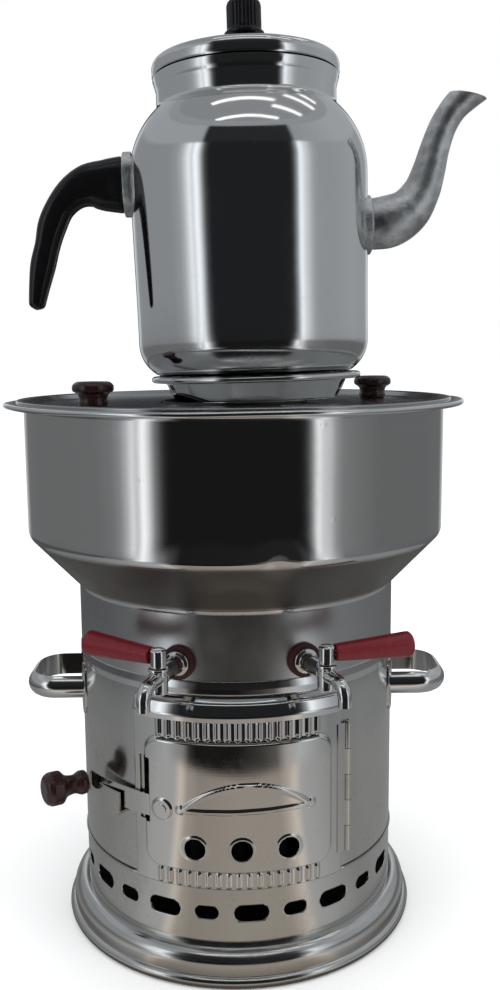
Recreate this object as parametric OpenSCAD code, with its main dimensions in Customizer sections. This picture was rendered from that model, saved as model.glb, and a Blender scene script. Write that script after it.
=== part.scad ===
// Portable samovar: a sheet steel stove that burns wood or charcoal, a lift-off water tank
// with two lever taps, an annular tank lid, a pot ring on the flue and an aluminium teapot.
// Millimetres, +Z up. The origin is on the stove's axis, on the plane that the base rests on.
// The door and the taps face -Y, and azimuths are degrees from -Y towards +X.

/* [Base] */
// How far the base's rolled hem stands out of the stove shell
base_out = 12.5; // [11:0.5:30]
// Height of the flared skirt
skirt_h = 20; // [18:0.5:30]
// Radius of the rolled hem's bead
hem_r = 3.4; // [2.5:0.1:4.5]
// Radius of the skirt's convex shoulder
skirt_round = 8.5; // [6:0.5:9]

/* [Stove] */
// Radius of the stove shell, outside
stove_r = 97.5; // [88:0.5:100]
// Thickness of the sheet that the stove and the tank are rolled from
sheet_t = 1.2; // [0.8:0.1:1.6]
// Height of the band that holds the air slots
band_h = 35; // [30:1:60]
// Height of the stove shell above that band
shell_h = 119; // [115:1:160]
// Number of air slots round the band, long and short by turns
vent_count = 24; // [12:2:28]
// Length of a long air slot
vent_long = 20; // [14:0.5:22]
// Length of a short air slot
vent_short = 14; // [9:0.5:16]
// Height of a long air slot
vent_h = 10; // [6:0.5:12]
// Azimuth of the first long slot
vent_start = 4; // [0:1:15]
// Thickness of the fire grate
grate_t = 2.5; // [1.5:0.5:5]

/* [Door] */
// Thickness of the door sheet
door_t = 0.8; // [0.6:0.1:1]
// Half of the angle that the door covers
door_half = 36.4; // [33:0.2:37]
// Height of the door
door_h = 99; // [96:1:99]
// Height that the pressed panel stands out
panel_raise = 2.3; // [2.1:0.1:3]
// Half of the angle that the pressed panel covers
panel_half = 31.8; // [30:0.2:32]
// Height of the pressed panel
panel_h = 76; // [70:1:78]
// Number of pressed flutes in each row
flute_count = 17; // [5:1:19]
// Height of a flute in the upper row
flute_h = 10.5; // [6:0.5:11]
// Width of a flute
flute_w = 3; // [2:0.5:4]
// Diameter of the three draught holes
draught_d = 12; // [6:0.5:14]
// Width of the pressed oval shield
shield_w = 78; // [40:1:80]
// Height of the pressed oval shield
shield_h = 17; // [8:0.5:20]
// How far the hood stands out over the door
hood_out = 8.5; // [7:0.5:12]
// Height of the hood
hood_h = 12; // [11:0.5:14]

/* [Hinge and latch] */
// Radius of the hinge pin
pin_r = 1; // [0.6:0.1:1.2]
// Wall of the hinge barrel round the pin
barrel_wall = 1.05; // [0.8:0.05:1.3]
// Number of hinge knuckles
knuckle_count = 5; // [3:2:7]
// Length of the hinge
hinge_l = 77; // [50:1:80]
// Height of the latch strap
strap_h = 12.5; // [8:0.5:13]
// Thickness of the latch strap
strap_t = 1; // [0.6:0.1:1.2]
// Distance from the latch's rivet to the bend at the strap's outer end
strap_l = 56; // [50:1:60]
// Radius that the strap is bent to along the shell
strap_bend = 122; // [120:1:140]
// Angle by which the strap slopes up at rest
strap_slope = 1; // [0:0.5:2]
// Length of the latch's wooden knob
latch_knob_l = 26; // [20:1:34]
// Diameter of the latch's wooden knob
latch_knob_d = 19.5; // [12:0.5:22]
// Angle from the rivet at which the knob points straight out
knob_angle = 35; // [30:1:40]

/* [Side handles] */
// Distance that a side handle stands out from the shell
handle_out = 34; // [24:1:45]
// Width of a side handle over its two arms
handle_w = 56; // [44:1:70]
// Height of the handle's pressed strip
strip_h = 14; // [10:0.5:18]
// Depth of the strip's rounded section
strip_t = 4.5; // [3:0.5:6]
// Height of the handle's middle above the foot
handle_z = 147; // [120:1:150]

/* [Tank] */
// Height of the tank's straight lower part
lower_h = 37.5; // [34:0.5:60]
// Height of the cone under the bowl
cone_h = 33; // [24:1:50]
// Radius of the bowl, outside
bowl_r = 127; // [118:0.5:140]
// Height of the bowl above the cone, with its flange
bowl_h = 78.3; // [60:0.1:110]
// Width of the rim flange outside the bowl
flange_w = 11.8; // [9:0.2:18]
// Depth of the collar that stands inside the stove's top
spigot_h = 12; // [6:0.5:20]
// Radius of the flue tube, outside
flue_r = 44; // [38:0.5:47]
// Angle by which the tank stands turned in the stove
tank_turn = 1.5; // [-10:0.5:10]

/* [Taps] */
// Angle of each tap from the tank's front
tap_angle = 20.5; // [16:0.5:30]
// Height of the tap's stem above the tank's lower edge
tap_z = 10; // [10:0.5:18]
// Distance from the tank's wall to the valve's axis
tap_reach = 27.5; // [22:0.5:36]
// Distance from the valve's axis to the nozzle's axis
nozzle_reach = 20; // [16:0.5:28]
// Radius of the nozzle, outside
nozzle_r = 3.6; // [3:0.1:4.2]
// Radius of the waterway
water_r = 2.2; // [1.5:0.1:2.3]
// Length of the lever's grip
grip_l = 44; // [30:1:60]
// Radius of the grip's outer end
grip_r = 7; // [5.5:0.5:8]
// Angle by which the left lever stands turned past closed
left_rest = 16; // [0:1:20]
// Angle by which the right lever stands short of closed
right_rest = 4; // [0:1:20]

/* [Tank lid] */
// Width by which the lid covers the rim flange
lid_cover = 4.5; // [3:0.5:6]
// Depth of the lid's dished middle
lid_dish = 3; // [2.6:0.1:4]
// Distance of the lid's knobs from the axis
lid_knob_place = 95; // [85:1:104]
// Azimuth of the first lid knob
lid_turn = -65; // [-180:5:180]
// How far both knobs stand off to the right
lid_knob_shift = 5; // [0:0.5:6]
// Diameter of a turned lid knob
lid_knob_d = 24; // [16:0.5:28]
// Height of a turned lid knob
lid_knob_h = 14; // [10:0.5:20]

/* [Pot ring] */
// Height of the pot ring
ring_h = 15; // [12:0.5:24]
// Radius of the ring's foot
ring_foot_r = 50; // [48:0.5:52]
// Radius of the ring's rolled lip, outside
ring_lip_r = 63.9; // [61:0.1:70]
// Height of the small edge turned down under the ring's foot
ring_edge_h = 0.7; // [0.5:0.1:1]
// How far the ring stands off the flue's axis
ring_shift = 14; // [12:0.5:16]
// Number of gas vents in the ring, at its sides and back only
ring_vents = 12; // [4:2:14]

/* [Teapot] */
// Radius of the teapot's body, outside
pot_r = 70.7; // [68:0.1:76]
// Height of the teapot up to its mouth
pot_h = 172; // [165:1:190]
// Radius of the teapot's neck, outside
neck_r = 53.3; // [50:0.1:56]
// Thickness of the teapot's wall
pot_t = 1.5; // [1.2:0.1:2.5]
// How far the teapot stands from the ring's middle
pot_shift = -1; // [-2:0.5:1]
// Radius of the strainer holes behind the spout
strainer_r = 2; // [1:0.5:2]
// Height of the spout's root above the teapot's bottom
spout_z = 86.5; // [70:0.5:90]
// Height of the handle's root above the teapot's bottom
grip_root_z = 114; // [105:1:118]
// Height of the lid's crown above the teapot's mouth
crown_h = 18; // [14:0.5:24]
// Radius of the lid's ribbed knob
knob_r = 10.2; // [8:0.2:12]
// Height of the lid's ribbed knob with its foot
knob_h = 26.3; // [20:0.1:32]
// Number of ribs round the knob
knob_ribs = 24; // [12:1:30]

/* [Hidden] */
$fn = 96;
gap = 0.3;             // free space between pieces that move past each other
running = 0.05;        // radial clearance of a pin in its bore
small = 0.01;          // overshoot of a cut past the face that it opens

// Radius and heights of the stove
base_r = stove_r + base_out;
band_top = skirt_h + band_h;
stove_top = band_top + shell_h;
band_foot = 2 * hem_r - 0.8;
floor_z = band_foot + 2;
vent_z = skirt_h + 0.54 * band_h;
bead_h = 1.6;
bead_out = 0.8;
ledge_w = 4;

// The door, from the shell outwards
door_in = stove_r + gap;
door_out = door_in + door_t;
strap_in = door_out + 1.5 * gap;
strap_out = strap_in + strap_t;
panel_in = max(door_in + panel_raise, strap_out + 0.2);
panel_out = panel_in + door_t;
door_top = stove_top - 21.3;
door_foot = door_top - door_h;
door_lap = 3;
opening_half = door_half - 3.4;
panel_foot = door_foot + flute_h;
panel_top = panel_foot + panel_h;
panel_z = (panel_foot + panel_top) / 2;
panel_r = 9;
panel_x = panel_out * sin(panel_half);
flute_pitch = 2 * (panel_half - 5.2) / (flute_count - 1);
hood_lip = door_top + 0.8;
hood_top = hood_lip + hood_h;
hood_half = door_half - 1.8;
hood_nose = 4;
hood_t = 1;

// The hinge, right of the door
barrel_r = pin_r + running + barrel_wall;
hinge_r = stove_r + 1.4;
hinge_az = door_half + 2.8;
hinge_z0 = door_foot + 12;
knuckle_l = hinge_l / knuckle_count;
leaf_t = 0.7;
barrel_half = asin(barrel_r / hinge_r);

// The latch: a strap on a rivet, bent along the shell and then outwards into its knob
rivet_az = -25;
rivet_z = panel_foot + 0.46 * panel_h;
rivet_r = 2;
strap_end = asin(strap_l / strap_bend);
strap_back = strap_in - strap_bend;
knob_from = [strap_bend * sin(strap_end), -strap_back - strap_bend * cos(strap_end)];
keeper_az = rivet_az - 21.5;
keeper_w = 19;
keeper_h = 16;
keeper_t = 1;
keeper_rise = 3.2;
keeper_in = norm([46, sqrt(pow(strap_bend + strap_t, 2) - 46 * 46) + strap_back]) + 0.3;
window_h = 38;
boss_r = 6.2;

// Heights and radii of the tank
tank_z = stove_top;
cone_z = tank_z + lower_h;
bowl_z = cone_z + cone_h;
rim_top = bowl_z + bowl_h;
rim_fillet = 5;
rim_bead = 1.5;
bowl_round = 14;
cone_round = 6;
flue_top = rim_top - 1;
floor_t = 1.2;

// Taps
stem_z = tank_z + tap_z;
valve_r = 4.9;
plug_r = 2.5;
hub_r = 4.25;
hub_h = 9.2;
stem_r = 5;
valve_top = stem_z + 5.5;
valve_foot = stem_z - 8;
grip_z = valve_top + gap + 0.6 * hub_h;
nozzle_bend = 8;
gasket_r = 9.5;
gasket_t = 2;
flange_t = 1.8;
shank_r = 4.4;
nut_r = 8;
nut_t = 3.5;
left_tap = tank_turn - tap_angle;
right_tap = tank_turn + tap_angle;

// Tank lid
lid_t = 1;
lid_under = rim_top;
lid_top = lid_under + lid_t;
lid_low = lid_top - lid_dish;
lid_hole = flue_r + 1.5;
lid_r = bowl_r + lid_cover;
screw_r = 2;

// The ring stands off the flue's axis, so the edge under its foot rides on the flue's rim on
// one side while its foot drops to the rim on the other: that is what leans the pot.
ring_t = 1;
ring_edge_r = flue_r - 4;
rim_mid = flue_r - 0.6;
foot_x = (rim_mid * rim_mid - ring_foot_r * ring_foot_r + ring_shift * ring_shift)
    / (2 * ring_shift);
edge_x = (rim_mid * rim_mid - ring_edge_r * ring_edge_r + ring_shift * ring_shift)
    / (2 * ring_shift);
pot_lean = asin(ring_edge_h / (edge_x - foot_x));
seat = 0.3;            // free space under the ring, the teapot and its lid
lip_r = 1.9;

// Teapot, heights above its own bottom
pot_round = 22;
pot_foot_r = ring_foot_r + 8;
shoulder_round = 50;
shoulder_z = pot_h - 55;
lid_seat_r = neck_r + 2;
knob_foot_z = pot_h + crown_h;

// Spout: [out from the wall, up from the root, radius]
SPOUT = [
    [-8, 0, 15], [2, 0.4, 15], [14, 2, 15.4], [25, 8, 13.6], [33, 19, 11.2], [37.5, 31, 9.8],
    [41, 43, 8.8], [46, 56, 8.2], [52.5, 66, 8.2], [60, 73, 8.8], [67, 79, 9.8]
];
// Handle: [out from the wall, up from the root, half height, half width]
HANDLE = [
    [4.2, 0, 16.5, 11.5], [14, 0, 15, 11], [25, 0, 12.5, 10.5],
    [34.5, -4, 10, 10], [42.5, -12, 8.5, 9.5], [48, -22.5, 8.4, 9], [51.5, -34, 7.4, 8.6],
    [55, -46, 7.4, 8.2], [58, -59, 6, 7.4], [60.5, -72, 4.4, 6]
];

// ---------- Helpers ----------

// Points of an arc about c, from angle a0 to a1
function arc(c, r, a0, a1, n = 8) =
    [for (i = [0:n]) c + r * [cos(a0 + (a1 - a0) * i / n), sin(a0 + (a1 - a0) * i / n)]];

// A list back to front
function back(p) = [for (i = [len(p) - 1:-1:0]) p[i]];

// A point t of the way along a smooth curve through a list of stations
function blend(a, b, c, d, t) =
    0.5 * (2 * b + (c - a) * t + (2 * a - 5 * b + 4 * c - d) * t * t
        + (3 * b - a - 3 * c + d) * t * t * t);
function along(list, u) =
    let (n = len(list) - 1, i = min(floor(u * n), n - 1), t = u * n - i)
    blend(list[max(i - 1, 0)], list[i], list[i + 1], list[min(i + 2, n)], t);

// Children drawn at the front are turned to an azimuth
module at_az(a) rotate([0, 0, a]) children();

// A round ring of wall t inside radius r, from height z0 to z1
module ring(r, t, z0, z1) rotate_extrude() translate([r - t, z0]) square([t, z1 - z0]);

// The stretch of such a ring from azimuth a0 to a1
module sector(r, t, z0, z1, a0, a1)
    rotate([0, 0, a0 - 90]) rotate_extrude(angle = a1 - a0)
        translate([r - t, z0]) square([t, z1 - z0]);

// A flat outline in X and Z, made as thick as d outwards from distance r in front
module outward(r, d) translate([0, -r, 0]) rotate([90, 0, 0]) linear_extrude(d) children();

// A slot outline with round ends, w wide and h high
module slot2d(w, h)
    rotate(w > h ? 0 : 90) {
        long = max(w, h);
        short = min(w, h);
        square([max(long - short, small), short], center = true);
        for (s = [-1, 1]) translate([s * (long - short) / 2, 0]) circle(short / 2);
    }

// A rectangle outline with round corners
module round_rect(w, h, r, n = 6)
    polygon([for (q = [0:3], i = [0:n])
        let (a = 90 * (q + i / n), x = q == 0 || q == 3 ? 1 : -1, z = q < 2 ? 1 : -1)
        [x * (w / 2 - r) + r * cos(a), z * (h / 2 - r) + r * sin(a)]]);

// A solid swept through stations [x, z, half height, half width] in the XZ plane
module swept(stations, rings, sides, scale_by = 0) {
    p = [for (i = [0:rings]) along(stations, i / rings)];
    dir = [for (i = [0:rings])
        let (d = p[min(i + 1, rings)] - p[max(i - 1, 0)]) [d[0], d[1]] / norm([d[0], d[1]])];
    points = [for (i = [0:rings], k = [0:sides - 1])
        let (a = 360 * k / sides, h = (p[i][2] + scale_by) * cos(a))
        [p[i][0] - dir[i][1] * h, (p[i][3] + scale_by) * sin(a), p[i][1] + dir[i][0] * h]];
    walls = [for (i = [0:rings - 1], k = [0:sides - 1])
        let (a = i * sides + k, b = i * sides + (k + 1) % sides) [a, b, b + sides, a + sides]];
    polyhedron(points, concat(walls, [
        [for (k = [sides - 1:-1:0]) k],
        [for (k = [0:sides - 1]) rings * sides + k]
    ]), convexity = 6);
}

// ---------- Base and stove ----------

module skirt_profile() {
    c = [base_r - hem_r - skirt_round + 0.4, skirt_h - skirt_round];
    wall_x = c[0] + skirt_round;
    polygon(concat([[wall_x - 1, hem_r], [wall_x, hem_r]], arc(c, skirt_round, 0, 90, 12),
        [[stove_r, skirt_h], [stove_r, skirt_h - 6], [c[0], skirt_h - 6]],
        arc(c, skirt_round - 1, 90, 0, 12)));
    intersection() {
        translate([base_r - hem_r, hem_r - 0.5]) circle(hem_r);
        translate([base_r - 2 * hem_r - 1, 0]) square([2 * hem_r + 2, 2 * hem_r]);
    }
}

module base_skirt() color("silver") rotate_extrude() skirt_profile();

module base_floor() color("dimgray")
    cylinder_plate(stove_r - sheet_t, floor_z, sheet_t);

module cylinder_plate(r, z, t) translate([0, 0, z]) cylinder(r = r, h = t);

module vent_band() color("silver") difference() {
    union() {
        ring(stove_r, sheet_t, band_foot, band_top);
        sector(stove_r + bead_out, bead_out + sheet_t / 2, band_top - bead_h, band_top,
            door_half + 0.7, 359.3 - door_half);
        ring(stove_r - sheet_t + small, ledge_w, band_top - sheet_t, band_top);
    }
    for (i = [0:vent_count - 1])
        at_az(vent_start + 360 * i / vent_count) translate([0, 0, vent_z])
            outward(stove_r - 4, 8)
                if (i % 2 == 0) slot2d(vent_long, vent_h);
                else slot2d(vent_short, vent_h * 0.8);
}

module fire_grate() color("dimgray") difference() {
    cylinder_plate(stove_r - sheet_t - 1, band_top, grate_t);
    for (i = [-6:6]) {
        reach = sqrt(pow(stove_r - 14, 2) - pow(13 * i, 2));
        translate([13 * i - 3, -reach, band_top - 1]) cube([6, 2 * reach, grate_t + 2]);
    }
}

module stove_shell() color("silver") difference() {
    ring(stove_r, sheet_t, band_top, stove_top);
    sector(stove_r + 1, sheet_t + 3, door_foot + door_lap, door_top - door_lap,
        -opening_half, opening_half);
    sector(stove_r + 1, sheet_t + 3, hinge_z0 - 1, hinge_z0 + hinge_l + 1,
        hinge_az - barrel_half - 0.5, hinge_az + barrel_half + 0.5);
}

module shell_top_strip() color("silver")
    ring(stove_r + 0.6, 0.6, hood_top + gap, stove_top);

module hood_profile(filled) {
    c = [stove_r + hood_out - hood_nose, hood_top - (hood_out - 0.741 * hood_nose) * tan(15)
        - 0.966 * hood_nose];
    outer = concat([[stove_r, hood_top]], arc(c, hood_nose, 75, -8),
        [[stove_r + hood_out - 1, hood_lip]]);
    inner = concat([[stove_r + hood_out - 1 - hood_t, hood_lip]],
        arc(c, hood_nose - hood_t, -8, 75), [[stove_r, hood_top - hood_t]]);
    polygon(filled ? concat(outer, [[stove_r, hood_lip]]) : concat(outer, inner));
}

module door_hood() color("silver") {
    rotate([0, 0, -hood_half - 90]) rotate_extrude(angle = 2 * hood_half)
        hood_profile(false);
    for (a = [-hood_half, hood_half - 0.6])
        rotate([0, 0, a - 90]) rotate_extrude(angle = 0.6) hood_profile(true);
}

// ---------- Side handles ----------

// Section of the handle's strip: flat inside and convex outside
module strip_section() {
    bow = (strip_h * strip_h / 4 + strip_t * strip_t) / (2 * strip_t);
    intersection() {
        translate([strip_t - bow, 0]) circle(bow);
        translate([0, -strip_h / 2]) square([strip_t + 1, strip_h]);
    }
}

// The strip runs out from the shell, round a corner, along and back, middle plane at z = 0
module side_handle() {
    corner = 15;
    half = handle_w / 2 - strip_t - corner;
    out = stove_r + handle_out - strip_t - corner;
    arm = stove_r - 8;
    foot_half = asin((handle_w / 2 - strip_t / 2) / stove_r);
    rotate([0, 0, 90]) translate([0, 0, handle_z]) color("silver") {
        difference() {
            union() {
                for (s = [-1, 1]) {
                    translate([s * half, -out, 0]) rotate([0, 0, s > 0 ? -90 : 180])
                        rotate_extrude(angle = 90) translate([corner, 0]) strip_section();
                    translate([s * (half + corner), -out, 0]) rotate([-90, 0, 0])
                        linear_extrude(out - arm) scale([s, 1]) strip_section();
                }
                translate([-half, -out - corner, 0]) rotate([0, 90, 0]) rotate([0, 0, 180])
                    linear_extrude(2 * half) rotate([0, 0, 90]) strip_section();
            }
            cylinder(r = stove_r + 1, h = 4 * strip_h, center = true);
        }
        for (s = [-1, 1]) intersection() {
            ring(stove_r + 1 + small, 1 + small, -20, 20);
            at_az(s * foot_half) outward(stove_r - 5, 12) slot2d(15, 32);
        }
    }
}

module left_side_handle() side_handle_at(180);
module right_side_handle() side_handle_at(0);
module side_handle_at(a) rotate([0, 0, a]) side_handle();

// ---------- Hinge ----------

module at_hinge() at_az(hinge_az) translate([0, -hinge_r, 0]) children();

module knuckles(odd) at_hinge() difference() {
    for (i = [0:knuckle_count - 1]) if (i % 2 == (odd ? 1 : 0))
        translate([0, 0, hinge_z0 + i * knuckle_l + gap / 2])
            cylinder(r = barrel_r, h = knuckle_l - gap);
    translate([0, 0, hinge_z0 - 1]) cylinder(r = pin_r + running, h = hinge_l + 2);
}

module hinge_bore() at_hinge()
    translate([0, 0, hinge_z0 - 1]) cylinder(r = pin_r + running, h = hinge_l + 2);

// Leaf strips stop short of the other leaf's knuckles
module leaf_gaps(odd) for (i = [0:knuckle_count - 1]) if (i % 2 == (odd ? 0 : 1))
    at_hinge() translate([0, 0, hinge_z0 + i * knuckle_l - gap / 2])
        cylinder(r = barrel_r + gap, h = knuckle_l + gap);

module hinge_shell_leaf() color("darkgray") difference() {
    union() {
        knuckles(false);
        sector(stove_r - sheet_t - 0.1, leaf_t, hinge_z0, hinge_z0 + hinge_l,
            hinge_az + barrel_half * 0.4, hinge_az + barrel_half + 6);
        sector(hinge_r, hinge_r - stove_r + sheet_t + leaf_t, hinge_z0, hinge_z0 + hinge_l,
            hinge_az + barrel_half * 0.4, hinge_az + barrel_half * 0.9);
    }
    leaf_gaps(false);
    hinge_bore();
}

module hinge_door_leaf() color("darkgray") difference() {
    union() {
        knuckles(true);
        sector(door_out + leaf_t, leaf_t, hinge_z0, hinge_z0 + hinge_l,
            panel_half + 3, hinge_az);
    }
    leaf_gaps(true);
    hinge_bore();
}

module hinge_pin() color("gray") at_hinge()
    translate([0, 0, hinge_z0 - 0.5]) cylinder(r = pin_r, h = hinge_l + 1);

// ---------- Door ----------

module panel_outline(inset) translate([0, panel_z])
    round_rect(2 * (panel_x - inset), panel_h - 2 * inset, panel_r - inset);

module shield_outline() {
    bow = (shield_w * shield_w / 4 + shield_h * shield_h) / (2 * shield_h);
    half = asin(shield_w / 2 / bow);
    polygon(concat(arc([0, shield_h - bow], bow, 90 - half, 90 + half, 24),
        [[-shield_w / 2, -0.8], [shield_w / 2, -0.8]]));
    for (s = [-1, 1]) translate([s * (shield_w / 2 - 1.5), 1]) circle(2.6);
}

module draught_holes() for (i = [-1:1])
    at_az(15 * i + 1) translate([0, 0, panel_foot + 14]) outward(door_in - 4, 12)
        circle(draught_d / 2);

module flute_rows() for (i = [0:flute_count - 1]) {
    a = (i - (flute_count - 1) / 2) * flute_pitch;
    at_az(a) {
        translate([0, 0, (panel_top + door_top) / 2]) outward(door_out - 0.4, 1.6)
            slot2d(flute_w, door_top - panel_top - 1.4);
        translate([0, 0, (panel_foot + door_foot) / 2]) outward(door_out - 0.4, 1.6)
            slot2d(flute_w, flute_h - 1.4);
    }
}

module door_panel() color("silver") difference() {
    union() {
        difference() {
            sector(door_out, door_t, door_foot, door_top, -door_half, door_half);
            outward(door_in * 0.7, door_in) panel_outline(door_t);
        }
        intersection() {
            difference() {
                sector(panel_out, panel_out - door_in, door_foot, door_top,
                    -door_half, door_half);
                intersection() {
                    sector(panel_in, panel_in - door_in + 2, door_foot - 1, door_top + 1,
                        -door_half - 1, door_half + 1);
                    outward(door_in * 0.7, door_in) panel_outline(door_t);
                }
            }
            outward(door_in * 0.7, door_in) panel_outline(0);
        }
        flute_rows();
        at_az(2.5) translate([0, 0, panel_foot + 36]) intersection() {
            outward(panel_out - 12, 20) shield_outline();
            translate([0, 0, -20]) ring(panel_out + 0.9, 1.2, 0, 60);
        }
        at_az(rivet_az) translate([0, 0, rivet_z]) outward(panel_out - 0.4, 1.1) circle(boss_r);
    }
    draught_holes();
    latch_window();
    at_az(rivet_az) translate([0, 0, rivet_z]) outward(door_in - 4, 12) circle(rivet_r);
}

// The strap leaves the pressed panel through a window in the panel's left wall
module latch_window()
    sector(panel_out + 2, panel_out + 4 - door_in, rivet_z - 9.5, rivet_z - 9.5 + window_h,
        -panel_half - 2.6, -panel_half + 2.2);

// ---------- Latch ----------

// Children are drawn with X along the strap away from the rivet, Y into the stove
module at_rivet() at_az(rivet_az) translate([0, 0, rivet_z]) mirror([1, 0, 0]) children();
module on_strap() at_rivet() rotate([0, -strap_slope, 0]) children();

module latch_rivet() color("gray") at_rivet() {
    outward(strap_in - 1.3, panel_out + 0.7 - strap_in + 1.3) circle(rivet_r);
    outward(strap_in - 1.3, 1) circle(rivet_r + 2);
    outward(panel_out + 0.7, 0.6) circle(rivet_r + 0.8);
}

module latch_strap() color("silver") {
    out = [sin(knob_angle), -cos(knob_angle)];
    side = [cos(knob_angle), sin(knob_angle)];
    tang = 0.62 * latch_knob_l;
    turn = strap_end - strap_t / strap_bend * 57.3;
    on_strap() difference() {
        intersection() {
            translate([0, 0, -strap_h]) linear_extrude(2 * strap_h) polygon(concat(
                arc([0, -strap_back], strap_bend, -90 + strap_end, -94, 24),
                arc([0, -strap_back], strap_bend + strap_t, -94, -90 + turn, 24),
                [knob_from + out * 3.5 - side * strap_t, knob_from + out * tang - side * strap_t,
                    knob_from + out * tang]
            ));
            outward(0, 2 * strap_bend) union() {
                circle(strap_h / 2);
                translate([0, -strap_h / 2]) square([strap_l + small, strap_h]);
                polygon([[strap_l, -strap_h / 2], [strap_l + 1.3, -1.6], [strap_l + 1.3, 1.6],
                    [strap_l, strap_h / 2]]);
                translate([strap_l, -1.6]) square([tang, 3.2]);
            }
        }
        outward(strap_in - 1, strap_t + 2) circle(rivet_r + running);
    }
}

// Children are drawn with X along the knob's axis, from the bend at the strap's end
module at_knob() translate([knob_from[0], knob_from[1], 0]) rotate([0, 0, knob_angle - 90])
    translate([0, -strap_t / 2, 0]) children();

module latch_knob() color("#4a2018") on_strap() at_knob() difference() {
    translate([4, 0, 0]) rotate([0, 90, 0]) turned_knob(latch_knob_d, latch_knob_l);
    translate([3, -strap_t / 2 - small, -1.6 - small])
        cube([0.62 * latch_knob_l - 3 + small, strap_t + 2 * small, 3.2 + 2 * small]);
}

// A turned knob: foot, waist, round head
module turned_knob(d, l) rotate_extrude() {
    r = d / 2;
    head = min(r, l * 0.5);
    polygon(concat(
        [[0, 0], [r * 0.62, 0]],
        arc([r * 0.62, l * 0.09], l * 0.09, -90, 60, 5),
        [[r * 0.55, l * 0.32], [r * 0.72, l * 0.48]],
        arc([r - head * 0.5, l - head * 0.5], head * 0.5, -35, 90, 8),
        [[0, l]]
    ));
}

module latch_keeper() color("silver") {
    top = rivet_z + keeper_rise;
    half = asin(keeper_w / 2 / keeper_in);
    intersection() {
        sector(keeper_in + keeper_t, keeper_t, top - keeper_h, top, keeper_az - half,
            keeper_az + half);
        at_az(keeper_az) outward(stove_r - 20, 40) translate([0, top - keeper_h / 2 + 5])
            round_rect(keeper_w, keeper_h + 10, 7);
    }
    at_az(keeper_az) difference() {
        translate([-keeper_w / 2 + 5, -keeper_in - keeper_t / 2, top - keeper_h])
            cube([keeper_w - 10, keeper_in - stove_r + 8, 1.6]);
        translate([0, 0, top - 30]) cylinder(r = stove_r, h = 60, $fn = 720);
    }
}

// ---------- Tank ----------

// The tank's sheet in three runs: a straight lower wall, a cone and a bowl with its rim
tank_wall_run = [[stove_r, tank_z], [stove_r, cone_z]];
tank_cone_run = [[stove_r, cone_z], [stove_r + 1.5, cone_z + 2.5], [bowl_r - 4.5, bowl_z - 5.5],
    [bowl_r - 1.3, bowl_z - 2.2], [bowl_r, bowl_z + 1.5]];
tank_bowl_run = [[bowl_r, bowl_z + 1.5], [bowl_r, rim_top - sheet_t - rim_fillet]];

module sheet_run(run) polygon(concat(run, back([for (p = run) p - [sheet_t, 0]])));

module tank_lower_wall() color("silver") difference() {
    rotate_extrude() {
        collar_r = stove_r - sheet_t - gap - sheet_t;
        sheet_run(tank_wall_run);
        translate([collar_r, tank_z - spigot_h]) square([sheet_t, spigot_h + sheet_t]);
        translate([collar_r, tank_z]) square([2 * sheet_t + gap, sheet_t]);
    }
    for (a = [left_tap, right_tap])
        at_az(a) translate([0, 0, stem_z]) outward(stove_r - 5, 10) circle(shank_r + 0.1);
}

module tank_cone() color("silver") rotate_extrude() sheet_run(tank_cone_run);

module tank_bowl() color("silver") rotate_extrude() {
    sheet_run(tank_bowl_run);
    c = [bowl_r + rim_fillet, rim_top - sheet_t - rim_fillet];
    intersection() {
        difference() {
            translate(c) circle(rim_fillet + sheet_t);
            translate(c) circle(rim_fillet);
        }
        translate([c[0] - rim_fillet - 2, c[1]]) square([rim_fillet + 2, rim_fillet + 2]);
    }
    translate([c[0] - small, rim_top - sheet_t])
        square([flange_w - rim_fillet - rim_bead, sheet_t]);
    translate([bowl_r + flange_w - rim_bead, rim_top - rim_bead]) circle(rim_bead);
}

module tank_floor() color("silver") difference() {
    cylinder_plate(stove_r - sheet_t - small, tank_z + sheet_t, floor_t);
    translate([0, 0, tank_z]) cylinder(r = flue_r, h = 10);
}

module flue_tube() color("dimgray") ring(flue_r, sheet_t, tank_z + sheet_t, flue_top);

// ---------- Taps ----------

module tap_body() translate([0, 0, stem_z]) difference() {
    union() {
        outward(stove_r - 8, 8 + gasket_t + 1) circle(shank_r);
        outward(stove_r + gasket_t, flange_t) circle(7);
        outward(stove_r + gasket_t, tap_reach - gasket_t) circle(stem_r);
        translate([0, -stove_r - tap_reach, valve_foot - stem_z])
            cylinder(r = valve_r, h = valve_top - valve_foot);
        translate([0, -stove_r - tap_reach, valve_foot - stem_z - 1.5])
            cylinder(r1 = valve_r - 1.6, r2 = valve_r, h = 1.5);
        for (z = [0.6, 2.6]) translate([0, -stove_r - tap_reach, valve_top - stem_z - z - 0.8])
            cylinder(r = valve_r + 0.7, h = 1);
        outward(stove_r + tap_reach, nozzle_reach - nozzle_bend) circle(nozzle_r + 0.4);
        nozzle_bend_ring(nozzle_r);
        translate([0, -stove_r - tap_reach - nozzle_reach, -nozzle_bend - 3])
            cylinder(r = nozzle_r, h = 3.02);
    }
    outward(stove_r - 9, 9 + tap_reach + nozzle_reach - nozzle_bend) circle(water_r);
    nozzle_bend_ring(water_r);
    translate([0, -stove_r - tap_reach - nozzle_reach, -nozzle_bend - 4])
        cylinder(r = water_r, h = 4.02);
    translate([0, -stove_r - tap_reach, -6.5])
        cylinder(r = plug_r + running, h = 20);
}

module nozzle_bend_ring(r)
    translate([0, -stove_r - tap_reach - nozzle_reach + nozzle_bend, -nozzle_bend])
        rotate([0, -90, 0]) rotate([0, 0, -90]) rotate_extrude(angle = 90)
            translate([nozzle_bend, 0]) circle(r);

module tap_gasket() translate([0, 0, stem_z]) difference() {
    outward(stove_r - 2, gasket_t + 2) circle(gasket_r);
    outward(stove_r - 3, gasket_t + 5) circle(shank_r + 0.1);
    translate([0, 0, -30]) cylinder(r = stove_r, h = 60, $fn = 720);
}

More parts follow.
